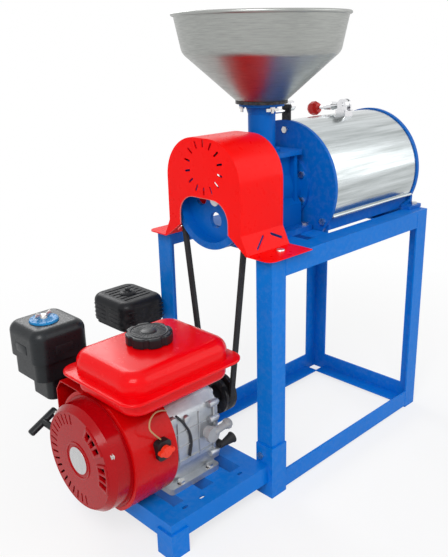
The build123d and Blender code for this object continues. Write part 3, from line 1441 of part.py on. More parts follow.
# Muffler and its louvred guard
with BuildPart() as muffler:
    with BuildSketch(facing_z(muffler_x, muffler_y, muffler_bottom)):
        RectangleRounded(muffler_length, muffler_width, 24)
    extrude(amount=muffler_top - muffler_bottom)
    fillet(muffler.faces().sort_by(Axis.Z)[-1].edges(), 14)
    with BuildSketch(facing_z(case_end + 10, axis_y + 155, 238)):
        Circle(13)
    extrude(amount=muffler_bottom - 238)
    with BuildSketch(facing_x((case_start + case_end) / 2 + 59, axis_y + 155, 250)):
        Circle(11)
    extrude(amount=16)
muffler.part.label = "muffler"
export_step(muffler.part, "parts/muffler.step")
with BuildPart() as muffler_guard:
    with BuildSketch(facing_z(muffler_x, muffler_y, muffler_bottom + 8)):
        RectangleRounded(muffler_length + 2 * guard_gap, muffler_width + 2 * guard_gap, 28)
    extrude(amount=muffler_top - muffler_bottom - 8 + guard_gap)
    fillet(muffler_guard.faces().sort_by(Axis.Z)[-1].edges(), 16)
    with BuildSketch(facing_z(muffler_x, muffler_y, muffler_bottom + 8)):
        RectangleRounded(muffler_length + 2 * guard_gap - 3, muffler_width + 2 * guard_gap - 3, 27)
    extrude(amount=muffler_top - muffler_bottom - 8 + guard_gap - 14, mode=Mode.SUBTRACT)
    add(muffler.part, mode=Mode.SUBTRACT)
    with BuildSketch(facing_z(muffler_x, muffler_y, muffler_top + guard_gap)):
        with GridLocations(0, 14, 1, 6):
            SlotOverall(70, 5)
    extrude(amount=-guard_gap, mode=Mode.SUBTRACT)
muffler_guard.part.label = "muffler_guard"
export_step(muffler_guard.part, "parts/muffler_guard.step")

# Latch over the cover's seam: a forked base with its pin, a lever and a grip
latch_x = 410.0
latch_y = 148.0
latch_height = 758.0
latch_cheek = 4.0
latch_slot = 12.6
latch_drop = 9.0
lever_length = 74.0
lever_plane = Plane(
    origin=at(latch_x, latch_y, latch_height),
    x_dir=(1, 0, 0),
    z_dir=(0, cos(radians(latch_drop)), -sin(radians(latch_drop))),
)
with BuildPart() as latch_base:
    with BuildSketch(facing_z(latch_x, latch_y, shaft_height)):
        RectangleRounded(30, 30, 4)
    extrude(amount=latch_height - 12 - shaft_height)
    with BuildSketch(facing_x(latch_x - latch_slot / 2 - latch_cheek, latch_y, latch_height)):
        with Locations((0, -8)):
            Rectangle(24, 16)
        Circle(12)
    extrude(amount=latch_slot + 2 * latch_cheek)
    with BuildSketch(facing_x(latch_x - latch_slot / 2, latch_y, latch_height)):
        Rectangle(40, 27)
    extrude(amount=latch_slot, mode=Mode.SUBTRACT)
    with BuildSketch(facing_x(latch_x - latch_slot / 2 - latch_cheek - 2, latch_y, latch_height)):
        Circle(4)
    extrude(amount=latch_slot + 2 * latch_cheek + 4)
    with BuildSketch(facing_x(latch_x - 40, axis_y, shaft_height)):
        Circle(cover_radius + 0.05)
    extrude(amount=80, mode=Mode.SUBTRACT)
latch_base.part.label = "latch_base"
export_step(latch_base.part, "parts/latch_base.step")
with BuildPart() as latch_lever:
    with BuildSketch(facing_x(latch_x - latch_slot / 2 + 0.3, latch_y, latch_height)):
        Circle(10.5)
    extrude(amount=latch_slot - 0.6)
    with BuildSketch(lever_plane.offset(8)):
        Circle(5.5)
    with BuildSketch(lever_plane.offset(32)):
        Circle(9.5)
    loft()
    with BuildSketch(lever_plane.offset(32)):
        Circle(9.5)
    with BuildSketch(lever_plane.offset(56)):
        Circle(6.5)
    loft()
    with BuildSketch(lever_plane.offset(56)):
        Circle(4)
    extrude(amount=lever_length - 56)
    with BuildSketch(facing_x(latch_x - latch_slot / 2, latch_y, latch_height)):
        Circle(4 + fit_gap)
    extrude(amount=latch_slot, mode=Mode.SUBTRACT)
latch_lever.part.label = "latch_lever"
export_step(latch_lever.part, "parts/latch_lever.step")
with BuildPart() as latch_grip:
    with BuildSketch(lever_plane.offset(lever_length)):
        RegularPolygon(radius=11, side_count=8)
    with BuildSketch(lever_plane.offset(lever_length + 7)):
        RegularPolygon(radius=16, side_count=8)
    loft()
    with BuildSketch(lever_plane.offset(lever_length + 7)):
        RegularPolygon(radius=16, side_count=8)
    extrude(amount=12)
    with BuildSketch(lever_plane.offset(lever_length + 19)):
        RegularPolygon(radius=16, side_count=8)
    with BuildSketch(lever_plane.offset(lever_length + 26)):
        RegularPolygon(radius=11, side_count=8)
    loft()
latch_grip.part.label = "latch_grip"
export_step(latch_grip.part, "parts/latch_grip.step")

# Levers of the carburettor and the governor
with BuildPart() as choke_lever:
    with BuildSketch(facing_far(carb_start + 9, carb_y + 23.3, carb_z + 8)):
        Circle(5)
        with Locations((0, 9)):
            RectangleRounded(7, 22, 3)
    extrude(amount=3)
choke_lever.part.label = "choke_lever"
export_step(choke_lever.part, "parts/choke_lever.step")
with BuildPart() as fuel_valve_lever:
    with BuildSketch(facing_far(carb_start + 12, carb_y + 23.3, carb_z - 12)):
        Circle(5)
        with Locations((-10, 0)):
            RectangleRounded(26, 7, 3)
    extrude(amount=3)
fuel_valve_lever.part.label = "fuel_valve_lever"
export_step(fuel_valve_lever.part, "parts/fuel_valve_lever.step")
with BuildPart() as throttle_lever:
    with BuildSketch(facing_z(throttle_x, throttle_y, throttle_z + 0.3)):
        Circle(7)
        with Locations((-18, 2)):
            RectangleRounded(44, 9, 4)
        Circle(3 + fit_gap, mode=Mode.SUBTRACT)
    extrude(amount=3)
throttle_lever.part.label = "throttle_lever"
export_step(throttle_lever.part, "parts/throttle_lever.step")

# Stop switch on the near side of the fan housing
switch_x = -241.0
switch_z = 208.0
switch_face = 40.0
with BuildPart() as switch_body:
    with BuildSketch(facing_far(switch_x, switch_face, switch_z)):
        RectangleRounded(30, 38, 8)
    extrude(amount=14)
    add(fan_housing.part, mode=Mode.SUBTRACT)
    with BuildSketch(facing_x(housing_start, axis_y, crank_height)):
        Circle(fan_radius - sheet / 2)
    extrude(amount=housing_depth, mode=Mode.SUBTRACT)
switch_body.part.label = "switch_body"
export_step(switch_body.part, "parts/switch_body.step")
with BuildPart() as switch_knob:
    with BuildSketch(facing_y(switch_x, switch_face - 0.3, switch_z)):
        Circle(11)
        RectangleRounded(34, 9, 4)
    extrude(amount=8)
switch_knob.part.label = "switch_knob"
export_step(switch_knob.part, "parts/switch_knob.step")

# Oil filler plug and drain plug on the near side of the crankcase
with BuildPart() as oil_plugs:
    with BuildSketch(facing_y(case_end - 20, axis_y - case_near, 162)):
        Circle(13)
    extrude(amount=10)
    with BuildSketch(facing_y(case_end - 20, axis_y - case_near - 10, 162)):
        RegularPolygon(radius=17, side_count=8)
    extrude(amount=9)
    with BuildSketch(facing_y(case_start + 22, axis_y - case_near, 130)):
        RegularPolygon(radius=9, side_count=6)
    extrude(amount=7)
oil_plugs.part.label = "oil_plugs"
export_step(oil_plugs.part, "parts/oil_plugs.step")

# Spark plug with its cap, in the middle of the head
plug_plane = Plane(
    origin=at(case_start + 55, axis_y + 123, 294),
    x_dir=(1, 0, 0),
    z_dir=(0, -sin(radians(cylinder_tilt)), cos(radians(cylinder_tilt))),
)
with BuildPart() as spark_plug:
    with BuildSketch(plug_plane):
        Circle(8)
    extrude(amount=14)
    with BuildSketch(plug_plane.offset(14)):
        Circle(10)
    extrude(amount=14)
    add(cylinder_head.part, mode=Mode.SUBTRACT)
spark_plug.part.label = "spark_plug"
export_step(spark_plug.part, "parts/spark_plug.step")


# Wires that the engine holds: the stop switch's loop and the oil sensor's lead
def corner_radii(points):
    """Radius of each bend: nearly half the shorter run beside it, over the tangent of half the turn."""
    runs = [Vector(*b) - Vector(*a) for a, b in zip(points, points[1:])]
    radii = []
    for before, after in zip(runs, runs[1:]):
        turn = radians(before.get_angle(after))
        radii.append(0.45 * min(before.length, after.length) / tan(turn / 2))
    return radii


def wire(points, radius):
    """Round wire along the points, with a bend at each inner one."""
    radii = corner_radii(points)
    print("wire bends", [round(r, 1) for r in radii])
    with BuildPart() as lead:
        with BuildLine() as route:
            FilletPolyline(*points, radius=radii)
        with BuildSketch(Plane(origin=route.line @ 0, z_dir=route.line % 0)):
            Circle(radius)
        sweep()
    print("wire volume", round(lead.part.volume, 1), round(3.14159265 * radius**2 * route.wire().length, 1))
    return lead.part


switch_wire_route = (
    (-243, 48, 228), (-256, 46, 243), (-268, 47, 260), (-262, 51, 275), (-246, 56, 281), (-226, 63, 274),
    (-208, 73, 262), (-198, 86, 250),
)
sensor_wire_route = ((-176, 84.5, 232), (-160, 84, 214), (-143, 84, 184), (-139, 84, 158), (-146, 84, 132))
wire_radius = 1.5
sleeve_radius = 2.2
with BuildPart() as engine_wires:
    add(wire([at(*point) for point in switch_wire_route], wire_radius))
    add(wire([at(*point) for point in sensor_wire_route], sleeve_radius))
    add(engine_crankcase.part, mode=Mode.SUBTRACT)
engine_wires.part.label = "engine_wires"
export_step(engine_wires.part, "parts/engine_wires.step")
print("frame", stand_front, stand_near)
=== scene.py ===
import json
import math

import bmesh
import bpy
from mathutils import Matrix, Vector


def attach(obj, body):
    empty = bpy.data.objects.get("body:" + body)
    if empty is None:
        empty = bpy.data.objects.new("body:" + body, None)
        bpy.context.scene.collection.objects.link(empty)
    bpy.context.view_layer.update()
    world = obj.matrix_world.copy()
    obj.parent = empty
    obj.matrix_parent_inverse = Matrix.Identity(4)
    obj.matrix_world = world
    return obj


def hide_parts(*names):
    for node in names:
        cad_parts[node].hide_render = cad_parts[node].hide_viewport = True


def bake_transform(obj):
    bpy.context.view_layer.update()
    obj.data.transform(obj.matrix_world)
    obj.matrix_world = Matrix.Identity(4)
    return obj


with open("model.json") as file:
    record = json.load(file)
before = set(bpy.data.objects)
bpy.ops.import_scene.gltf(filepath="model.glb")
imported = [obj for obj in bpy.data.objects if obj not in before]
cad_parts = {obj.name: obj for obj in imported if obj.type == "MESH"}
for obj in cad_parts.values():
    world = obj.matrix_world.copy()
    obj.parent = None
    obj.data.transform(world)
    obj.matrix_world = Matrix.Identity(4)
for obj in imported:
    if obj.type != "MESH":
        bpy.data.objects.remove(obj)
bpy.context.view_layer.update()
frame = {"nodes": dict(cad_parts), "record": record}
nodes = frame["nodes"]

# The part's frame lies this far from the stand's front face and near face, in metres
stand_front = -0.1395
stand_near = -0.21125


def at(x, y, z):
    """A point given in millimetres from the stand's front face, near face and the floor."""
    return Vector((stand_front + x / 1000, stand_near + y / 1000, z / 1000))


# Heights and the shared plane of the two turning axes, in stand millimetres
axis_y = 165
crank_z = 180
mill_z = 602

# Camera at the photograph's angle. Its focal length and shift are in pixels of the long side
photo_long_side = 557
focal_length = 698.39
centre_shift = -17.3
camera_data = bpy.data.cameras.new("camera")
camera = bpy.data.objects.new("camera", camera_data)
bpy.context.scene.collection.objects.link(camera)
bpy.context.scene.camera = camera
yaw, pitch, roll = math.radians(45.4), math.radians(-18.97), math.radians(-0.9)
look = Vector((math.sin(yaw) * math.cos(pitch), math.cos(yaw) * math.cos(pitch), math.sin(pitch)))
right = Vector((math.cos(yaw), -math.sin(yaw), 0))
up = right.cross(look)
camera_side = right * math.cos(roll) + up * math.sin(roll)
camera_top = -right * math.sin(roll) + up * math.cos(roll)
camera_turn = Matrix((camera_side, camera_top, -look)).transposed().to_4x4()
camera_place = at(-911.3, -819.1, 902.0)
camera.matrix_world = Matrix.Translation(camera_place) @ camera_turn
camera_data.sensor_fit = "AUTO"
camera_data.sensor_width = 36.0
camera_data.lens = focal_length * 36.0 / photo_long_side
camera_data.shift_x = centre_shift / photo_long_side
camera_data.clip_start = 0.05
camera_data.clip_end = 60.0


# Shader groups that several finishes share
def new_group(name, inputs, outputs):
    """Empty shader group with named inputs and outputs."""
    group = bpy.data.node_groups.new(name, "ShaderNodeTree")
    for label, kind, value in inputs:
        socket = group.interface.new_socket(name=label, in_out="INPUT", socket_type=kind)
        socket.default_value = value
    for label, kind in outputs:
        group.interface.new_socket(name=label, in_out="OUTPUT", socket_type=kind)
    start = group.nodes.new("NodeGroupInput")
    end = group.nodes.new("NodeGroupOutput")
    return group, start, end


def math_node(tree, operation, first, second=None, third=None):
    node = tree.nodes.new("ShaderNodeMath")
    node.operation = operation
    for index, value in enumerate((first, second, third)):
        if value is None:
            continue
        if isinstance(value, (int, float)):
            node.inputs[index].default_value = value
        else:
            tree.links.new(value, node.inputs[index])
    return node.outputs[0]


def noise(tree, vector, scale, detail=4.0, rough=0.55):
    node = tree.nodes.new("ShaderNodeTexNoise")
    node.inputs["Scale"].default_value = scale
    node.inputs["Detail"].default_value = detail
    node.inputs["Roughness"].default_value = rough
    tree.links.new(vector, node.inputs["Vector"])
    return node.outputs["Fac"]


def ramp(tree, value, low, high, first=0.0, last=1.0):
    node = tree.nodes.new("ShaderNodeMapRange")
    node.inputs["From Min"].default_value = low
    node.inputs["From Max"].default_value = high
    node.inputs["To Min"].default_value = first
    node.inputs["To Max"].default_value = last
    tree.links.new(value, node.inputs["Value"])
    return node.outputs["Result"]


def scaled(tree, vector, scale):
    node = tree.nodes.new("ShaderNodeVectorMath")
    node.operation = "MULTIPLY"
    node.inputs[1].default_value = scale
    tree.links.new(vector, node.inputs[0])
    return node.outputs[0]


def mix_colour(tree, factor, first, second):
    node = tree.nodes.new("ShaderNodeMix")
    node.data_type = "RGBA"
    factor_socket, first_socket, second_socket = node.inputs[0], node.inputs[6], node.inputs[7]
    for socket, value in ((factor_socket, factor), (first_socket, first), (second_socket, second)):
        if isinstance(value, (int, float)):
            socket.default_value = value
        elif isinstance(value, (tuple, list)):
            socket.default_value = (*value, 1.0)
        else:
            tree.links.new(value, socket)
    return node.outputs[2]


# Soft mottling of a finish: a broad mask for the colour and a fine one for the roughness
mottle_group, mottle_in, mottle_out = new_group(
    "mottle",
    [("Scale", "NodeSocketFloat", 30.0)],
    [("Mask", "NodeSocketFloat"), ("Fine", "NodeSocketFloat")],
)
coords = mottle_group.nodes.new("ShaderNodeTexCoord")
broad = mottle_group.nodes.new("ShaderNodeTexNoise")
broad.inputs["Detail"].default_value = 3.0
mottle_group.links.new(coords.outputs["Object"], broad.inputs["Vector"])
mottle_group.links.new(mottle_in.outputs["Scale"], broad.inputs["Scale"])
fine = mottle_group.nodes.new("ShaderNodeTexNoise")
fine.inputs["Detail"].default_value = 5.0
mottle_group.links.new(coords.outputs["Object"], fine.inputs["Vector"])
fine_scale = math_node(mottle_group, "MULTIPLY", mottle_in.outputs["Scale"], 14.0)
mottle_group.links.new(fine_scale, fine.inputs["Scale"])
mottle_group.links.new(broad.outputs["Fac"], mottle_out.inputs["Mask"])
mottle_group.links.new(fine.outputs["Fac"], mottle_out.inputs["Fine"])

# Scuffs and rubbed paint: sparse streaks where a fine noise passes a threshold
scuff_group, scuff_in, scuff_out = new_group(
    "scuffs",
    [("Amount", "NodeSocketFloat", 0.3)],
    [("Mask", "NodeSocketFloat")],
)
coords = scuff_group.nodes.new("ShaderNodeTexCoord")
drawn_out = scaled(scuff_group, coords.outputs["Object"], (60.0, 60.0, 14.0))
streak = noise(scuff_group, drawn_out, 4.0, 6.0, 0.7)
patch = noise(scuff_group, coords.outputs["Object"], 7.0, 2.0)
sparse_streaks = ramp(scuff_group, streak, 0.62, 0.72)
patches = ramp(scuff_group, patch, 0.5, 0.7)
both = math_node(scuff_group, "MULTIPLY", sparse_streaks, patches)
rubbed = math_node(scuff_group, "MULTIPLY", both, scuff_in.outputs["Amount"])
scuff_group.links.new(rubbed, scuff_out.inputs["Mask"])

# Edge wear from the corners of the surface
edge_group, edge_in, edge_out = new_group(
    "edge_wear",
    [("Amount", "NodeSocketFloat", 0.5)],
    [("Mask", "NodeSocketFloat")],
)
geometry = edge_group.nodes.new("ShaderNodeNewGeometry")
coords = edge_group.nodes.new("ShaderNodeTexCoord")
grain = noise(edge_group, coords.outputs["Object"], 90.0, 5.0, 0.65)
corners = ramp(edge_group, geometry.outputs["Pointiness"], 0.52, 0.6)
worn_corners = math_node(edge_group, "MULTIPLY", corners, ramp(edge_group, grain, 0.45, 0.62))
wear_shown = math_node(edge_group, "MULTIPLY", worn_corners, edge_in.outputs["Amount"])
edge_group.links.new(wear_shown, edge_out.inputs["Mask"])


def use_group(tree, group, **values):
    node = tree.nodes.new("ShaderNodeGroup")
    node.node_tree = group
    for name, value in values.items():
        node.inputs[name].default_value = value
    return node


def bump(tree, shader, height, strength, distance):
    node = tree.nodes.new("ShaderNodeBump")
    node.inputs["Strength"].default_value = strength
    node.inputs["Distance"].default_value = distance
    tree.links.new(height, node.inputs["Height"])
    tree.links.new(node.outputs["Normal"], shader.inputs["Normal"])


def new_material(name):
    material = bpy.data.materials.new(name)
    material.use_nodes = True
    tree = material.node_tree
    return material, tree, tree.nodes["Principled BSDF"]


def paint(name, colour, shade, rough=0.3, coat=0.2, wear=0.35, orange_peel=0.05, gloss=0.1):
    """Sprayed gloss paint over metal, with mottling, scuffs and rubbed edges."""
    material, tree, shader = new_material(name)
    shader.inputs["Specular IOR Level"].default_value = gloss
    mottle = use_group(tree, mottle_group, Scale=5.0)
    peel_coords = tree.nodes.new("ShaderNodeTexCoord")
    peel = noise(tree, peel_coords.outputs["Object"], 420.0, 2.0, 0.5)
    scuffs = use_group(tree, scuff_group, Amount=wear)
    edges = use_group(tree, edge_group, Amount=wear)
    base = mix_colour(tree, ramp(tree, mottle.outputs["Mask"], 0.3, 0.75), colour, shade)
    marks = math_node(tree, "MAXIMUM", scuffs.outputs["Mask"], edges.outputs["Mask"])
    worn = mix_colour(tree, marks, base, tuple(min(1.0, 0.75 * c + 0.12) for c in colour))
    tree.links.new(worn, shader.inputs["Base Color"])
    roughness = ramp(tree, mottle.outputs["Fine"], 0.3, 0.7, rough - 0.05, rough + 0.09)
    rubbed_roughness = math_node(tree, "MULTIPLY_ADD", marks, 0.3, roughness)
    tree.links.new(rubbed_roughness, shader.inputs["Roughness"])
    shader.inputs["Coat Weight"].default_value = coat
    shader.inputs["Coat Roughness"].default_value = 0.12
    bump(tree, shader, peel, orange_peel, 0.0004)
    return material


def cast_metal(name, colour, shade, rough, grit=0.4):
    """Sand or die cast metal with a fine grainy skin."""
    material, tree, shader = new_material(name)
    mottle = use_group(tree, mottle_group, Scale=22.0)
    coords = tree.nodes.new("ShaderNodeTexCoord")
    skin = noise(tree, coords.outputs["Object"], 900.0, 3.0, 0.6)
    base = mix_colour(tree, ramp(tree, mottle.outputs["Mask"], 0.3, 0.72), colour, shade)
    tree.links.new(base, shader.inputs["Base Color"])
    shader.inputs["Metallic"].default_value = 1.0
    roughness = ramp(tree, mottle.outputs["Fine"], 0.3, 0.7, rough - 0.1, rough + 0.12)
    tree.links.new(roughness, shader.inputs["Roughness"])
    bump(tree, shader, skin, grit, 0.0005)
    return material


def brushed(name, colour, shade, stretch, rough=0.28, depth=0.12):
    """Metal with fine marks drawn along one direction."""
    material, tree, shader = new_material(name)
    coords = tree.nodes.new("ShaderNodeTexCoord")
    marks = noise(tree, scaled(tree, coords.outputs["Object"], stretch), 6.0, 6.0, 0.65)
    mottle = use_group(tree, mottle_group, Scale=7.0)
    base = mix_colour(tree, ramp(tree, marks, 0.3, 0.7), colour, shade)
    tree.links.new(base, shader.inputs["Base Color"])
    shader.inputs["Metallic"].default_value = 1.0
    change = ramp(tree, marks, 0.3, 0.7, rough - 0.07, rough + 0.08)
    tree.links.new(
        math_node(tree, "ADD", change, ramp(tree, mottle.outputs["Mask"], 0.3, 0.7, -0.04, 0.06)),
        shader.inputs["Roughness"],
    )
    bump(tree, shader, marks, depth, 0.0003)
    return material


def polished_sheet(name, colour, shade):
    """Bright rolled sheet with streaks along the drum and slight waves in its reflections; the darker
    streaks in its colour are partly rolling marks and partly painted reflection.
    """
    material, tree, shader = new_material(name)
    coords = tree.nodes.new("ShaderNodeTexCoord")
    # Darker streaks along the drum: partly rolling marks, partly painted reflection
    streaks = noise(tree, scaled(tree, coords.outputs["Object"], (0.5, 11.0, 11.0)), 6.0, 4.0, 0.6)
    fine = noise(tree, scaled(tree, coords.outputs["Object"], (3.0, 150.0, 150.0)), 6.0, 4.0, 0.6)
    base = mix_colour(tree, ramp(tree, streaks, 0.38, 0.68), colour, shade)
    tree.links.new(base, shader.inputs["Base Color"])
    shader.inputs["Metallic"].default_value = 1.0
    tree.links.new(ramp(tree, fine, 0.3, 0.7, 0.13, 0.26), shader.inputs["Roughness"])
    waves = noise(tree, scaled(tree, coords.outputs["Object"], (1.0, 3.0, 3.0)), 6.0, 2.0, 0.5)
    height = math_node(tree, "MULTIPLY_ADD", fine, 0.02, waves)
    bump(tree, shader, height, 0.35, 0.003)
    return material


def sieve_sheet(name, middle, radius, pitch):
    """Thin sheet with staggered round holes, laid out round the drum's axis; the holes are not cut, each
    is a near-black dot of painted shade.
    """
    material, tree, shader = new_material(name)
    coords = tree.nodes.new("ShaderNodeTexCoord")
    split = tree.nodes.new("ShaderNodeSeparateXYZ")
    tree.links.new(coords.outputs["Object"], split.inputs[0])
    across = math_node(tree, "SUBTRACT", split.outputs["Y"], middle.y)
    rise = math_node(tree, "SUBTRACT", split.outputs["Z"], middle.z)
    angle = math_node(tree, "ARCTAN2", across, rise)
    turns = math_node(tree, "MULTIPLY", angle, round(2 * math.pi * radius / pitch) / (2 * math.pi))
    row = math_node(tree, "FLOOR", turns)
    shift = math_node(tree, "MULTIPLY", math_node(tree, "PINGPONG", row, 1.0), 0.5)
    length = math_node(tree, "MULTIPLY", split.outputs["X"], 1 / pitch)
    along = math_node(tree, "ADD", length, shift)
    first = math_node(tree, "SUBTRACT", math_node(tree, "FRACT", turns), 0.5)
    second = math_node(tree, "SUBTRACT", math_node(tree, "FRACT", along), 0.5)
    first_square = math_node(tree, "MULTIPLY", first, first)
    second_square = math_node(tree, "MULTIPLY", second, second)
    reach = math_node(tree, "SQRT", math_node(tree, "ADD", first_square, second_square))
    sheet = ramp(tree, reach, 0.27, 0.33)
    # Near-black in the holes: painted shade where the sheet is open
    base = mix_colour(tree, sheet, (0.01, 0.01, 0.01), (0.55, 0.55, 0.54))
    tree.links.new(base, shader.inputs["Base Color"])
    tree.links.new(sheet, shader.inputs["Metallic"])
    mottle = use_group(tree, mottle_group, Scale=20.0)
    roughness = ramp(tree, mottle.outputs["Fine"], 0.3, 0.7, 0.28, 0.44)
    tree.links.new(roughness, shader.inputs["Roughness"])
    bump(tree, shader, sheet, 0.5, 0.0006)
    return material


def wire_sleeves(name, colour, sleeve, border):
    """Insulation of two leads: pale on the switch's lead, black on the one past the border."""
    material, tree, shader = new_material(name)
    coords = tree.nodes.new("ShaderNodeTexCoord")
    split = tree.nodes.new("ShaderNodeSeparateXYZ")
    tree.links.new(coords.outputs["Object"], split.inputs[0])
    mottle = use_group(tree, mottle_group, Scale=30.0)
    pale = mix_colour(tree, mottle.outputs["Mask"], colour, tuple(0.8 * c for c in colour))
    past = math_node(tree, "GREATER_THAN", split.outputs["X"], border)
    tree.links.new(mix_colour(tree, past, pale, sleeve), shader.inputs["Base Color"])
    roughness = ramp(tree, mottle.outputs["Fine"], 0.3, 0.7, 0.38, 0.55)
    tree.links.new(roughness, shader.inputs["Roughness"])
    bump(tree, shader, mottle.outputs["Fine"], 0.1, 0.0003)
    return material


def moulded(name, colour, rough=0.45, grain=500.0, depth=0.25):
    """Moulded plastic, rubber or rope with a leather like grain."""
    material, tree, shader = new_material(name)
    coords = tree.nodes.new("ShaderNodeTexCoord")
    skin = noise(tree, coords.outputs["Object"], grain, 4.0, 0.6)
    mottle = use_group(tree, mottle_group, Scale=18.0)
    pale = tuple(min(1.0, c * 1.4 + 0.004) for c in colour)
    base = mix_colour(tree, ramp(tree, mottle.outputs["Mask"], 0.35, 0.75), colour, pale)
    tree.links.new(base, shader.inputs["Base Color"])
    shader.inputs["Specular IOR Level"].default_value = 0.3
    roughness = ramp(tree, mottle.outputs["Fine"], 0.3, 0.7, rough - 0.08, rough + 0.1)
    tree.links.new(roughness, shader.inputs["Roughness"])
    bump(tree, shader, skin, depth, 0.0004)
    return material


finishes = {
    "stand_blue": paint("stand_blue", (0.0, 0.165, 0.62), (0.0, 0.185, 0.68), 0.36, 0.06, 0.16),
    "mill_blue": paint("mill_blue", (0.0, 0.115, 0.48), (0.0, 0.13, 0.52), 0.38, 0.06, 0.14, 0.12),
    "guard_red": paint("guard_red", (0.92, 0.0, 0.0), (0.95, 0.002, 0.001), 0.3, 0.06, 0.0),
    # Lighter red of the ribbon along the guard's arch: a painted highlight
    "guard_edge_highlight": paint("guard_edge_highlight", (0.95, 0.2, 0.16), (0.98, 0.28, 0.22), 0.35, 0.2, 0.1),
    "engine_red": paint("engine_red", (0.5, 0.0, 0.001), (0.56, 0.001, 0.002), 0.26, 0.14, 0.0),
    # Darker copy of the engine red for the recoil cover and its rings: painted shade
    "recoil_shaded_red": paint("recoil_shaded_red", (0.34, 0.0, 0.003), (0.4, 0.001, 0.004), 0.22, 0.2, 0.0),
    "tank_red": paint("tank_red", (0.8, 0.0, 0.003), (0.86, 0.001, 0.004), 0.2, 0.16, 0.0, 0.02),
    "black_paint": paint("black_paint", (0.012, 0.012, 0.014), (0.022, 0.022, 0.024), 0.4, 0.2, 0.3),
    "muffler_black": paint("muffler_black", (0.008, 0.009, 0.011), (0.018, 0.019, 0.022), 0.42, 0.1, 0.2),
    "cover_steel": polished_sheet("cover_steel", (0.6, 0.64, 0.65), (0.34, 0.37, 0.37)),
    "hopper_steel": brushed(
        "hopper_steel", (0.42, 0.43, 0.41), (0.29, 0.3, 0.29), (6.0, 6.0, 190.0), 0.36, 0.14,
    ),
    "chrome_steel": brushed(
        "chrome_steel", (0.82, 0.82, 0.84), (0.7, 0.7, 0.72), (40.0, 40.0, 40.0), 0.14, 0.03,
    ),
    "bright_steel": brushed(
        "bright_steel", (0.6, 0.6, 0.61), (0.46, 0.46, 0.48), (220.0, 8.0, 8.0), 0.3, 0.15,
    ),
    "hub_steel": brushed("hub_steel", (0.6, 0.6, 0.6), (0.5, 0.5, 0.51), (30.0, 30.0, 30.0), 0.26, 0.06),
    "zinc_steel": cast_metal("zinc_steel", (0.7, 0.69, 0.66), (0.55, 0.55, 0.54), 0.32, grit=0.1),
    "cast_aluminium": cast_metal("cast_aluminium", (0.58, 0.6, 0.62), (0.42, 0.44, 0.46), 0.46),
    "cast_iron": cast_metal("cast_iron", (0.12, 0.12, 0.13), (0.08, 0.08, 0.085), 0.6),
    "black_plastic": moulded("black_plastic", (0.006, 0.008, 0.01), 0.34),
    "brush_black": moulded("brush_black", (0.02, 0.02, 0.02), 0.75, 700.0, 0.6),
    "plug_grey": moulded("plug_grey", (0.3, 0.31, 0.32), 0.4),
    "grip_red": moulded("grip_red", (0.62, 0.012, 0.01), 0.3, 260.0, 0.08),
    "switch_red": moulded("switch_red", (0.72, 0.03, 0.008), 0.3, 260.0, 0.08),
    "knob_blue": moulded("knob_blue", (0.005, 0.2, 0.48), 0.3, 260.0, 0.08),
    "belt_rubber": moulded("belt_rubber", (0.014, 0.014, 0.015), 0.6, 420.0, 0.5),
    "black_rubber": moulded("black_rubber", (0.014, 0.014, 0.015), 0.55, 420.0, 0.4),
    "wire_tan": wire_sleeves("wire_tan", (0.5, 0.3, 0.14), (0.02, 0.02, 0.022), at(-190, 0, 0).x),
    "rope_cream": moulded("rope_cream", (0.42, 0.38, 0.3), 0.8, 900.0, 0.5),
    "sieve_steel": sieve_sheet("sieve_steel", at(0, axis_y, mill_z), 0.106, 0.0045),
}

slot_of = {entry["node"]: entry["material_slot"] for entry in frame["record"]["subparts"]}


def finish_of(node):
    return finishes[slot_of[node]]


# The recoil cover takes the darker red of painted shade
own_finish = {"sieve_drum": "sieve_steel", "recoil_cover": "recoil_shaded_red"}
for name, obj in nodes.items():
    obj.data.materials.clear()
    obj.data.materials.append(finishes[own_finish[name]] if name in own_finish else finish_of(name))

# Mesh helpers for the pieces that the solids leave out
def turned(profile, steps):
    """Solid of revolution about +Z from a line of (radius, height) points in millimetres."""
    part = bmesh.new()
    verts = [part.verts.new((radius / 1000, 0, height / 1000)) for radius, height in profile]
    edges = [part.edges.new(pair) for pair in zip(verts, verts[1:])]
    bmesh.ops.spin(
        part, geom=verts + edges, cent=(0, 0, 0), axis=(0, 0, 1), dvec=(0, 0, 0),
        angle=2 * math.pi, steps=steps, use_merge=True, use_duplicate=False,
    )
    bmesh.ops.remove_doubles(part, verts=part.verts, dist=1e-6)
    bmesh.ops.recalc_face_normals(part, faces=part.faces)
    return part


def block(size, round_edge):
    """Block of the given size in millimetres about its middle, with rounded edges."""
    part = bmesh.new()
    bmesh.ops.create_cube(part, size=1.0)
    bmesh.ops.scale(part, vec=[length / 1000 for length in size], verts=part.verts)
    soften(part, part.edges, round_edge)
    return part


def soften(part, edges, round_edge, segments=2):
    bmesh.ops.bevel(
        part, geom=list(edges), offset=round_edge / 1000, offset_type="OFFSET", segments=segments,
        profile=0.5, affect="EDGES", material=-1, clamp_overlap=True,
    )


def prism(radius, height, sides, round_edge, top_radius=None):
    """Upright prism or cone with its base at the origin, in millimetres."""
    part = bmesh.new()
    bmesh.ops.create_cone(
        part, cap_ends=True, segments=sides, radius1=radius / 1000,
        radius2=(radius if top_radius is None else top_radius) / 1000, depth=height / 1000,
    )
    bmesh.ops.translate(part, verts=part.verts, vec=(0, 0, height / 2000))
    rims = [edge for edge in part.edges if abs(edge.verts[0].co.z - edge.verts[1].co.z) < 1e-6]
    soften(part, rims, round_edge)
    return part


def facing(place, direction, spin=0.0):
    """Matrix that stands a part's own Z axis along the direction at the place."""
    quaternion = Vector(direction).to_track_quat("Z", "Y")
    return Matrix.Translation(place) @ quaternion.to_matrix().to_4x4() @ Matrix.Rotation(spin, 4, "Z")


# Edges flatter than this are shaded as smooth
smooth_angle = math.radians(35.0)


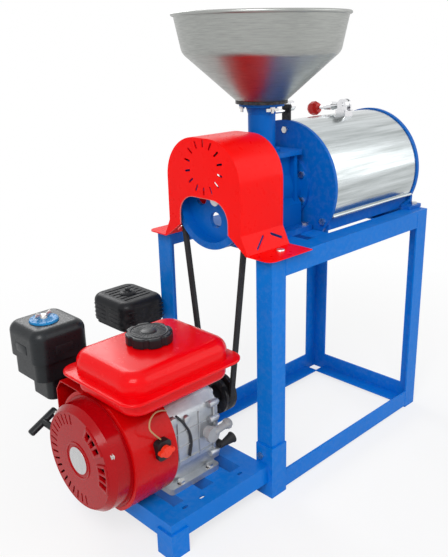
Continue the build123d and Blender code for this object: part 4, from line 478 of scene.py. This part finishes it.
class Collector:
    """Gathers placed parts into one mesh."""

    def __init__(self):
        self.work = bmesh.new()

    def put(self, part, matrix):
        bmesh.ops.transform(part, matrix=matrix, verts=part.verts)
        mesh = bpy.data.meshes.new("part")
        part.to_mesh(mesh)
        part.free()
        self.work.from_mesh(mesh)
        bpy.data.meshes.remove(mesh)

    def finish(self, name, finish, body="root", slot=None, replaces=None):
        mesh = bpy.data.meshes.new(name)
        bmesh.ops.recalc_face_normals(self.work, faces=self.work.faces)
        for face in self.work.faces:
            face.smooth = True
        for edge in self.work.edges:
            if len(edge.link_faces) == 2:
                edge.smooth = edge.calc_face_angle(0.0) < smooth_angle
        self.work.to_mesh(mesh)
        self.work.free()
        obj = bpy.data.objects.new(name, mesh)
        mesh.materials.append(finishes[finish])
        bpy.context.scene.collection.objects.link(obj)
        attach(obj, body)
        if replaces:
            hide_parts(*replaces)


# Cast ribs, lugs and the rim along the joint of the crankcase's near side
near_face = 87.0
case = Collector()
for x in (-172.0, -118.0):
    case.put(block((2.2, 4.0, 96.0), 0.9), Matrix.Translation(at(x, near_face - 0.6, 170)))
for z in (128.0, 158.0, 190.0):
    case.put(block((112.0, 3.4, 2.0), 0.8), Matrix.Translation(at(-141, near_face - 0.5, z)))
case.put(block((7.0, 7.0, 116.0), 2.0), Matrix.Translation(at(-79, near_face - 1.0, 166)))
for z in (112.0, 150.0, 188.0, 222.0):
    case.put(prism(7.5, 22.0, 24, 1.2), facing(at(-93, near_face - 2.0, z), (1, 0, 0)))
case.put(prism(12.0, 10.0, 28, 2.0, 10.0), facing(at(-186, near_face + 2.0, 222), (0, -1, 0)))
case.put(prism(9.0, 8.0, 24, 1.5, 7.5), facing(at(-150, near_face + 2.0, 214), (0, -1, 0)))
case.finish("case_ribs", "cast_aluminium")

bolts = Collector()
for z in (112.0, 150.0, 188.0, 222.0):
    bolts.put(prism(4.6, 4.5, 6, 0.5), facing(at(-71, near_face - 2.0, z), (1, 0, 0)))
for angle in (35, 155, 275):
    y = axis_y + 101 * math.cos(math.radians(angle))
    z = crank_z + 101 * math.sin(math.radians(angle))
    bolts.put(prism(6.4, 1.6, 20, 0.4), facing(at(-329, y, z), (-1, 0, 0)))
    bolts.put(prism(4.6, 5.0, 6, 0.5), facing(at(-329, y, z), (-1, 0, 0)))
bolts.finish("small_bolts", "zinc_steel")

# Seam band of the air cleaner's cover, and the bare raised field on each of two sides
seam = Collector()
band = bmesh.new()
bmesh.ops.create_cube(band, size=1.0)
bmesh.ops.scale(band, vec=(0.1115, 0.1115, 0.003), verts=band.verts)
uprights = [edge for edge in band.edges if abs(edge.verts[0].co.z - edge.verts[1].co.z) > 0.001]
soften(band, uprights, 23.0, 8)
band_rims = [edge for edge in band.edges if abs(edge.verts[0].co.z - edge.verts[1].co.z) < 1e-6]
soften(band, band_rims, 1.0)
seam.put(band, Matrix.Translation(at(-272.5, 352.5, 316.8)))
for x, y, angle in ((-272.5, 293.2, 0.0), (-331.8, 352.5, math.pi / 2)):
    field_place = Matrix.Translation(at(x, y, 341)) @ Matrix.Rotation(angle, 4, "Z")
    seam.put(block((38.0, 2.0, 18.0), 0.8), field_place)
seam.finish("cleaner_trim", "black_plastic")

# Screw knob of the air cleaner with its wing nut
knob = Collector()
knob.put(turned([(0, 0), (29, 0), (29, 1.6), (27.6, 4.0), (24, 5.0), (21, 4.2), (9, 5.0), (0, 5.4)], 48),
         Matrix.Translation(at(-278.5, 350.5, 385)))
for index in range(10):
    angle = index * math.pi / 5
    knob.put(block((5.0, 1.6, 1.6), 0.5), Matrix.Translation(at(-278.5, 350.5, 389.6))
             @ Matrix.Rotation(angle, 4, "Z") @ Matrix.Translation((0.0235, 0, 0)))
knob.finish("cleaner_disc", "knob_blue", "cleaner_knob", replaces=["cleaner_knob"])
wing = Collector()
wing.put(turned([(0, 0), (8, 0), (7.4, 5.0), (5.4, 8.6), (0, 9.0)], 28),
         Matrix.Translation(at(-278.5, 350.5, 389)))
for side in (-1, 1):
    ear = block((13.0, 3.2, 11.0), 1.4)
    bmesh.ops.scale(ear, vec=(1, 0.8, 1), verts=[v for v in ear.verts if v.co.x * side > 0.003])
    ear_place = Matrix.Translation(at(-278.5 + side * 11.5, 350.5, 396))
    wing.put(ear, ear_place @ Matrix.Rotation(-side * 0.45, 4, "Y"))
wing.finish("cleaner_wing_nut", "zinc_steel", "cleaner_knob")

# Painted highlight: a pale ribbon of lighter red along the edge of the guard's sheet at its arch
def arch_edge():
    """Ribbon that follows the arch from one spring line over its two corners to the other."""
    half, top, spring, corner, front = 68.9, 610.9, 548.0, 41.9, -17.15
    ribbon = bmesh.new()

    def line_to(vert, place):
        end = ribbon.verts.new(place)
        ribbon.edges.new((vert, end))
        return end

    def bend(vert, centre):
        made = bmesh.ops.spin(
            ribbon, geom=[vert], cent=centre, axis=(1, 0, 0), dvec=(0, 0, 0), angle=-math.pi / 2,
            steps=10, use_merge=False, use_duplicate=False,
        )
        return [item for item in made["geom_last"] if isinstance(item, bmesh.types.BMVert)][0]

    start = ribbon.verts.new(at(front, axis_y - half, spring))
    vert = line_to(start, at(front, axis_y - half, top - corner))
    vert = bend(vert, at(front, axis_y - half + corner, top - corner))
    vert = line_to(vert, at(front, axis_y + half - corner, top))
    vert = bend(vert, at(front, axis_y + half - corner, top - corner))
    line_to(vert, at(front, axis_y + half, spring))
    bmesh.ops.remove_doubles(ribbon, verts=ribbon.verts, dist=1e-6)
    made = bmesh.ops.extrude_edge_only(ribbon, edges=list(ribbon.edges))
    moved = [item for item in made["geom"] if isinstance(item, bmesh.types.BMVert)]
    bmesh.ops.translate(ribbon, verts=moved, vec=(0.0023, 0, 0))
    bmesh.ops.recalc_face_normals(ribbon, faces=ribbon.faces)
    bmesh.ops.solidify(ribbon, geom=list(ribbon.faces), thickness=0.0007)
    return ribbon


# Ribbon of painted highlight along the guard's arch
arch_highlight = Collector()
arch_highlight.put(arch_edge(), Matrix.Identity(4))
arch_highlight.finish("guard_arch_highlight", "guard_edge_highlight", slot="guard_red")

# Raised rings on the recoil cover's face, round its bare hub
recoil = Collector()
hub_place = facing(at(-342.6, axis_y, crank_z), (-1, 0, 0))
recoil.put(turned([(33, -0.5), (33.4, 1.4), (35, 2.0), (36.6, 1.4), (37, -0.5)], 56), hub_place)
recoil.put(turned([(92.5, -0.5), (92.8, 0.8), (93.6, 1.0), (94.4, 0.6), (94.6, -0.5)], 72), hub_place)


def window_frame(first, last):
    """Raised frame round a row of three windows, on the recoil cover's face, angles in degrees."""
    middles = [first, (first + last) / 2, last]
    angles = [first - 7.6]
    for middle in middles:
        angles += [middle - 3.7, middle, middle + 3.7]
    angles.append(last + 7.6)
    radii = (65.5, 70.2, 89.8, 94.2)
    frame_mesh = bmesh.new()
    rows = []
    for radius in radii:
        rows.append([
            frame_mesh.verts.new(at(
                -342.4,
                axis_y + radius * math.cos(math.radians(angle)),
                crank_z + radius * math.sin(math.radians(angle)),
            ))
            for angle in angles
        ])
    window_steps = (1, 2, 4, 5, 7, 8)
    for strip, (inner, outer) in enumerate(zip(rows, rows[1:])):
        for step in range(len(angles) - 1):
            if strip == 1 and step in window_steps:
                continue
            frame_mesh.faces.new((inner[step], outer[step], outer[step + 1], inner[step + 1]))
    made = bmesh.ops.extrude_face_region(frame_mesh, geom=frame_mesh.faces[:], use_keep_orig=True)
    top = [item for item in made["geom"] if isinstance(item, bmesh.types.BMVert)]
    bmesh.ops.translate(frame_mesh, verts=top, vec=(-0.0042, 0, 0))
    bmesh.ops.recalc_face_normals(frame_mesh, faces=frame_mesh.faces)
    sharp = [
        line for line in frame_mesh.edges
        if len(line.link_faces) == 2 and line.calc_face_angle(0.0) > 0.7
        and min(vert.co.x for vert in line.verts) < at(-344, 0, 0).x
    ]
    soften(frame_mesh, sharp, 1.1)
    return frame_mesh


recoil.put(window_frame(122, 144), Matrix.Identity(4))
recoil.put(window_frame(169, 191), Matrix.Identity(4))
# The rings share the recoil cover's darker red of painted shade
recoil.finish("recoil_rings", "recoil_shaded_red", slot="engine_red")
hub = Collector()
hub.put(turned([(0, 0.6), (24, 0.6), (26.5, 0.2), (27, -0.6)], 48),
        facing(at(-343.9, axis_y, crank_z), (-1, 0, 0)))
hub.finish("recoil_hub_disc", "hub_steel", slot="zinc_steel")

# Raised grips on the fuel cap
cap = Collector()
cap_place = Matrix.Translation(at(-183, 142, 391.6))
cap.put(turned([(0, 2.6), (12, 2.4), (15, 1.2), (15.6, 0), (15.6, -1)], 40), cap_place)
cap.put(turned([(33, -1), (33.4, 0.9), (35, 1.4), (36.4, 0.6), (37, -1)], 56), cap_place)
for index in range(24):
    angle = index * math.pi / 12
    grip_place = cap_place @ Matrix.Rotation(angle, 4, "Z") @ Matrix.Translation((0.0245, 0, 0))
    cap.put(block((15.0, 1.5, 1.8), 0.5), grip_place)
cap.finish("fuel_cap_grips", "black_plastic", "fuel_cap")

# Louvre ridges on two sides of the muffler's guard
louvres = Collector()
for row in range(4):
    z = 330 + row * 9.5
    for column in (-27, 27):
        louvres.put(block((2.6, 40, 2.6), 1.0), Matrix.Translation(at(-117.6, 370 + column, z)))
        louvres.put(block((38, 2.6, 2.6), 1.0), Matrix.Translation(at(-61.5 + column, 305.4, z)))
louvres.finish("muffler_louvres", "muffler_black")

# Round boss with its nut on top of the muffler's guard
boss = Collector()
boss_place = at(-61.5, 370, 378)
boss.put(turned([(0, -4), (19, -4), (19, 1.2), (16.5, 3.4), (11, 4.6), (9.5, 7.0), (0, 7.4)], 44),
         Matrix.Translation(boss_place))
boss.put(prism(5.2, 4.6, 6, 0.6), Matrix.Translation(boss_place + Vector((0, 0, 0.0072))))
boss.finish("muffler_boss", "muffler_black")

# Ribs of the mill body's front bearing cap, seen through the arch
cap_ribs = Collector()
for index in range(6):
    angle = index * math.pi / 3
    rib_turn = facing(at(111.5, axis_y, mill_z), (-1, 0, 0), angle)
    cap_ribs.put(block((15.0, 3.0, 3.0), 1.0), rib_turn @ Matrix.Translation((0.041, 0, 0)))
cap_ribs.finish("bearing_cap_ribs", "mill_blue")

# Rolled lip where the tank's two halves are seamed
def tank_lip():
    """Flat ring with round corners and a rolled edge, about the origin."""
    lip = bmesh.new()
    bmesh.ops.create_cube(lip, size=1.0)
    bmesh.ops.scale(lip, vec=(0.277, 0.223, 0.0062), verts=lip.verts)
    upright = [edge for edge in lip.edges if abs(edge.verts[0].co.z - edge.verts[1].co.z) > 0.001]
    soften(lip, upright, 33.0, 9)
    lids = [face for face in lip.faces if abs(face.normal.z) > 0.9]
    rims = list({edge for face in lids for edge in face.edges})
    soften(lip, rims, 2.6, 3)
    lids = [face for face in lip.faces if abs(face.normal.z) > 0.99 and face.calc_area() > 0.01]
    bmesh.ops.inset_region(lip, faces=lids, thickness=0.02, use_even_offset=True)
    bmesh.ops.delete(lip, geom=lids, context="FACES")
    bmesh.ops.bridge_loops(lip, edges=[edge for edge in lip.edges if edge.is_boundary])
    return lip


lip = Collector()
lip.put(tank_lip(), Matrix.Translation(at(-185.5, 131.5, 329)))
lip.finish("tank_seam_lip", "tank_red")

# Rolled mouth of the fan housing, cut flat above and below as the housing is
ring = turned(
    [(104.5, 3.0), (109.5, -1.2), (114, -2.0), (117.6, -0.6), (117.9, 2.0), (116.2, 3.2), (104.5, 3.0)], 96
)
bmesh.ops.transform(ring, matrix=facing(at(-300, axis_y, crank_z), (1, 0, 0)), verts=ring.verts)
for height, direction in ((77.4, -1), (286.6, 1)):
    bmesh.ops.bisect_plane(
        ring, geom=ring.verts[:] + ring.edges[:] + ring.faces[:], plane_co=at(0, 0, height),
        plane_no=(0, 0, direction), clear_outer=True,
    )
    bmesh.ops.holes_fill(ring, edges=[edge for edge in ring.edges if edge.is_boundary], sides=0)
mouth = Collector()
mouth.put(ring, Matrix.Identity(4))
mouth.finish("fan_housing_mouth", "engine_red")


# Weld beads where the rails meet the legs
def bead():
    """Row of overlapping scallops along Z, about the origin."""
    length, spacing = 34.0, 3.3
    row = bmesh.new()
    count = int(length / spacing)
    for index in range(count):
        height = (index - (count - 1) / 2) * spacing / 1000
        made = bmesh.ops.create_icosphere(row, subdivisions=2, radius=0.0024)
        bmesh.ops.scale(row, vec=(1.0, 0.62, 0.95), verts=made["verts"])
        bmesh.ops.translate(row, verts=made["verts"], vec=(0, 0, height))
    return row


welds = Collector()
quarter_turn = Matrix.Rotation(math.pi / 2, 4, "Z")
for z in (493.0, 26.0):
    for x in (40.0, 510.0):
        for y in (0.3, 329.7):
            welds.put(bead(), Matrix.Translation(at(x, y, z)))
for y in (40.0, 290.0):
    for x, z in ((549.7, 493.0), (549.7, 26.0), (0.3, 26.0)):
        welds.put(bead(), Matrix.Translation(at(x, y, z)) @ quarter_turn)
welds.finish("weld_beads", "stand_blue")

# Grip of the oil filler and the rubber spout of the oil drain, on the case's near corner
filler = Collector()
filler_place = facing(at(-90, 73.5, 164), (1, 0, 0.1))
filler.put(
    turned([(0, 0), (6.5, 0), (7.6, 2), (7.2, 30), (9.6, 33), (10.2, 41), (8.6, 44), (0, 44.4)], 32),
    filler_place,
)
for index in range(8):
    angle = index * math.pi / 4
    filler.put(
        block((2.4, 1.8, 9.0), 0.6),
        filler_place @ Matrix.Rotation(angle, 4, "Z") @ Matrix.Translation((0.0102, 0, 0.037)),
    )
filler.finish("oil_filler_grip", "plug_grey")
drain = Collector()
drain.put(turned([(0, 0), (8, 0), (8, 13), (6.6, 17), (0, 17)], 28), facing(at(-67, 92, 124), (0, -1, 0)))
spout = [(0, -5), (6, -5), (6.6, 4), (10.6, 27), (12.2, 30), (12.0, 31.2), (10.4, 30.6), (5.2, 8), (0, 8)]
drain.put(turned(spout, 32), facing(at(-67, 77, 124), (1, 0, 0.12)))
drain.finish("oil_drain_spout", "black_rubber")

# Starter rope, hidden in the cover's boss and the grip's stem until the grip is pulled
rope = turned([(0, 0), (1.7, 0.2), (1.9, 0.8), (1.9, 49.2), (1.7, 49.8), (0, 50)], 10)
long_edges = [edge for edge in rope.edges if abs(edge.verts[0].co.z - edge.verts[1].co.z) > 0.03]
bmesh.ops.subdivide_edges(rope, edges=long_edges, cuts=40)
bmesh.ops.transform(rope, matrix=facing(at(-322, 252, 190), (0, 1, 0)), verts=rope.verts)
rope_mesh = bpy.data.meshes.new("starter_rope")
for face in rope.faces:
    face.smooth = True
rope.to_mesh(rope_mesh)
rope.free()
rope_mesh.materials.append(finishes["rope_cream"])
starter_rope = bpy.data.objects.new("starter_rope", rope_mesh)
bpy.context.scene.collection.objects.link(starter_rope)
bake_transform(starter_rope)

# Floor, backdrop and lights
floor_material, tree, shader = new_material("floor_white")
tree.nodes.remove(shader)
diffuse = tree.nodes.new("ShaderNodeBsdfDiffuse")
diffuse.inputs["Color"].default_value = (0.9, 0.9, 0.9, 1.0)
glow = tree.nodes.new("ShaderNodeEmission")
glow.inputs["Strength"].default_value = 1.0
light_path = tree.nodes.new("ShaderNodeLightPath")
blend = tree.nodes.new("ShaderNodeMixShader")
floor_coords = tree.nodes.new("ShaderNodeTexCoord")
distance = tree.nodes.new("ShaderNodeVectorMath")
distance.operation = "LENGTH"
tree.links.new(floor_coords.outputs["Object"], distance.inputs[0])
seen = math_node(
    tree, "MAXIMUM", light_path.outputs["Is Camera Ray"], light_path.outputs["Is Transmission Ray"],
)
seen = math_node(tree, "MAXIMUM", seen, light_path.outputs["Is Glossy Ray"])
fade = ramp(tree, distance.outputs["Value"], 0.5, 1.5, 0.72, 1.0)
tree.links.new(math_node(tree, "MULTIPLY", seen, fade), blend.inputs["Fac"])
tree.links.new(diffuse.outputs[0], blend.inputs[1])
tree.links.new(glow.outputs[0], blend.inputs[2])
tree.links.new(blend.outputs[0], tree.nodes["Material Output"].inputs["Surface"])

floor_half_side = 9.0
floor_height = -0.0005
floor_mesh = bpy.data.meshes.new("floor")
work = bmesh.new()
bmesh.ops.create_grid(work, x_segments=1, y_segments=1, size=floor_half_side)
bmesh.ops.translate(work, verts=work.verts, vec=(0, 0, floor_height))
work.to_mesh(floor_mesh)
work.free()
floor = bpy.data.objects.new("floor", floor_mesh)
floor_mesh.materials.append(floor_material)
bpy.context.scene.collection.objects.link(floor)

world = bpy.data.worlds.new("studio")
bpy.context.scene.world = world
world.use_nodes = True
tree = world.node_tree
background = tree.nodes["Background"]
background.inputs["Color"].default_value = (1.0, 1.0, 1.0, 1.0)
plain = tree.nodes.new("ShaderNodeBackground")
plain.inputs["Color"].default_value = (1.0, 1.0, 1.0, 1.0)
plain.inputs["Strength"].default_value = 0.42
background.inputs["Strength"].default_value = 1.0
path = tree.nodes.new("ShaderNodeLightPath")
join = tree.nodes.new("ShaderNodeMixShader")
behind = math_node(tree, "MAXIMUM", path.outputs["Is Camera Ray"], path.outputs["Is Transmission Ray"])
tree.links.new(math_node(tree, "MAXIMUM", behind, path.outputs["Is Glossy Ray"]), join.inputs["Fac"])
tree.links.new(plain.outputs[0], join.inputs[1])
tree.links.new(background.outputs[0], join.inputs[2])
tree.links.new(join.outputs[0], tree.nodes["World Output"].inputs["Surface"])


lamp_target = (0, 0, 0.5)


def area_light(name, place, side, power):
    data = bpy.data.lights.new(name, "AREA")
    data.shape = "RECTANGLE"
    data.size = side
    data.size_y = side
    data.energy = power
    light = bpy.data.objects.new(name, data)
    bpy.context.scene.collection.objects.link(light)
    light.location = place
    light.rotation_euler = (Vector(lamp_target) - Vector(place)).to_track_quat("-Z", "Y").to_euler()


area_light("key", (-2.2, -1.6, 2.6), 1.8, 70.0)
area_light("fill", (2.0, -2.4, 1.8), 2.6, 26.0)
area_light("rim", (0.6, 2.6, 2.2), 1.6, 36.0)

bpy.context.scene.view_settings.view_transform = "Standard"
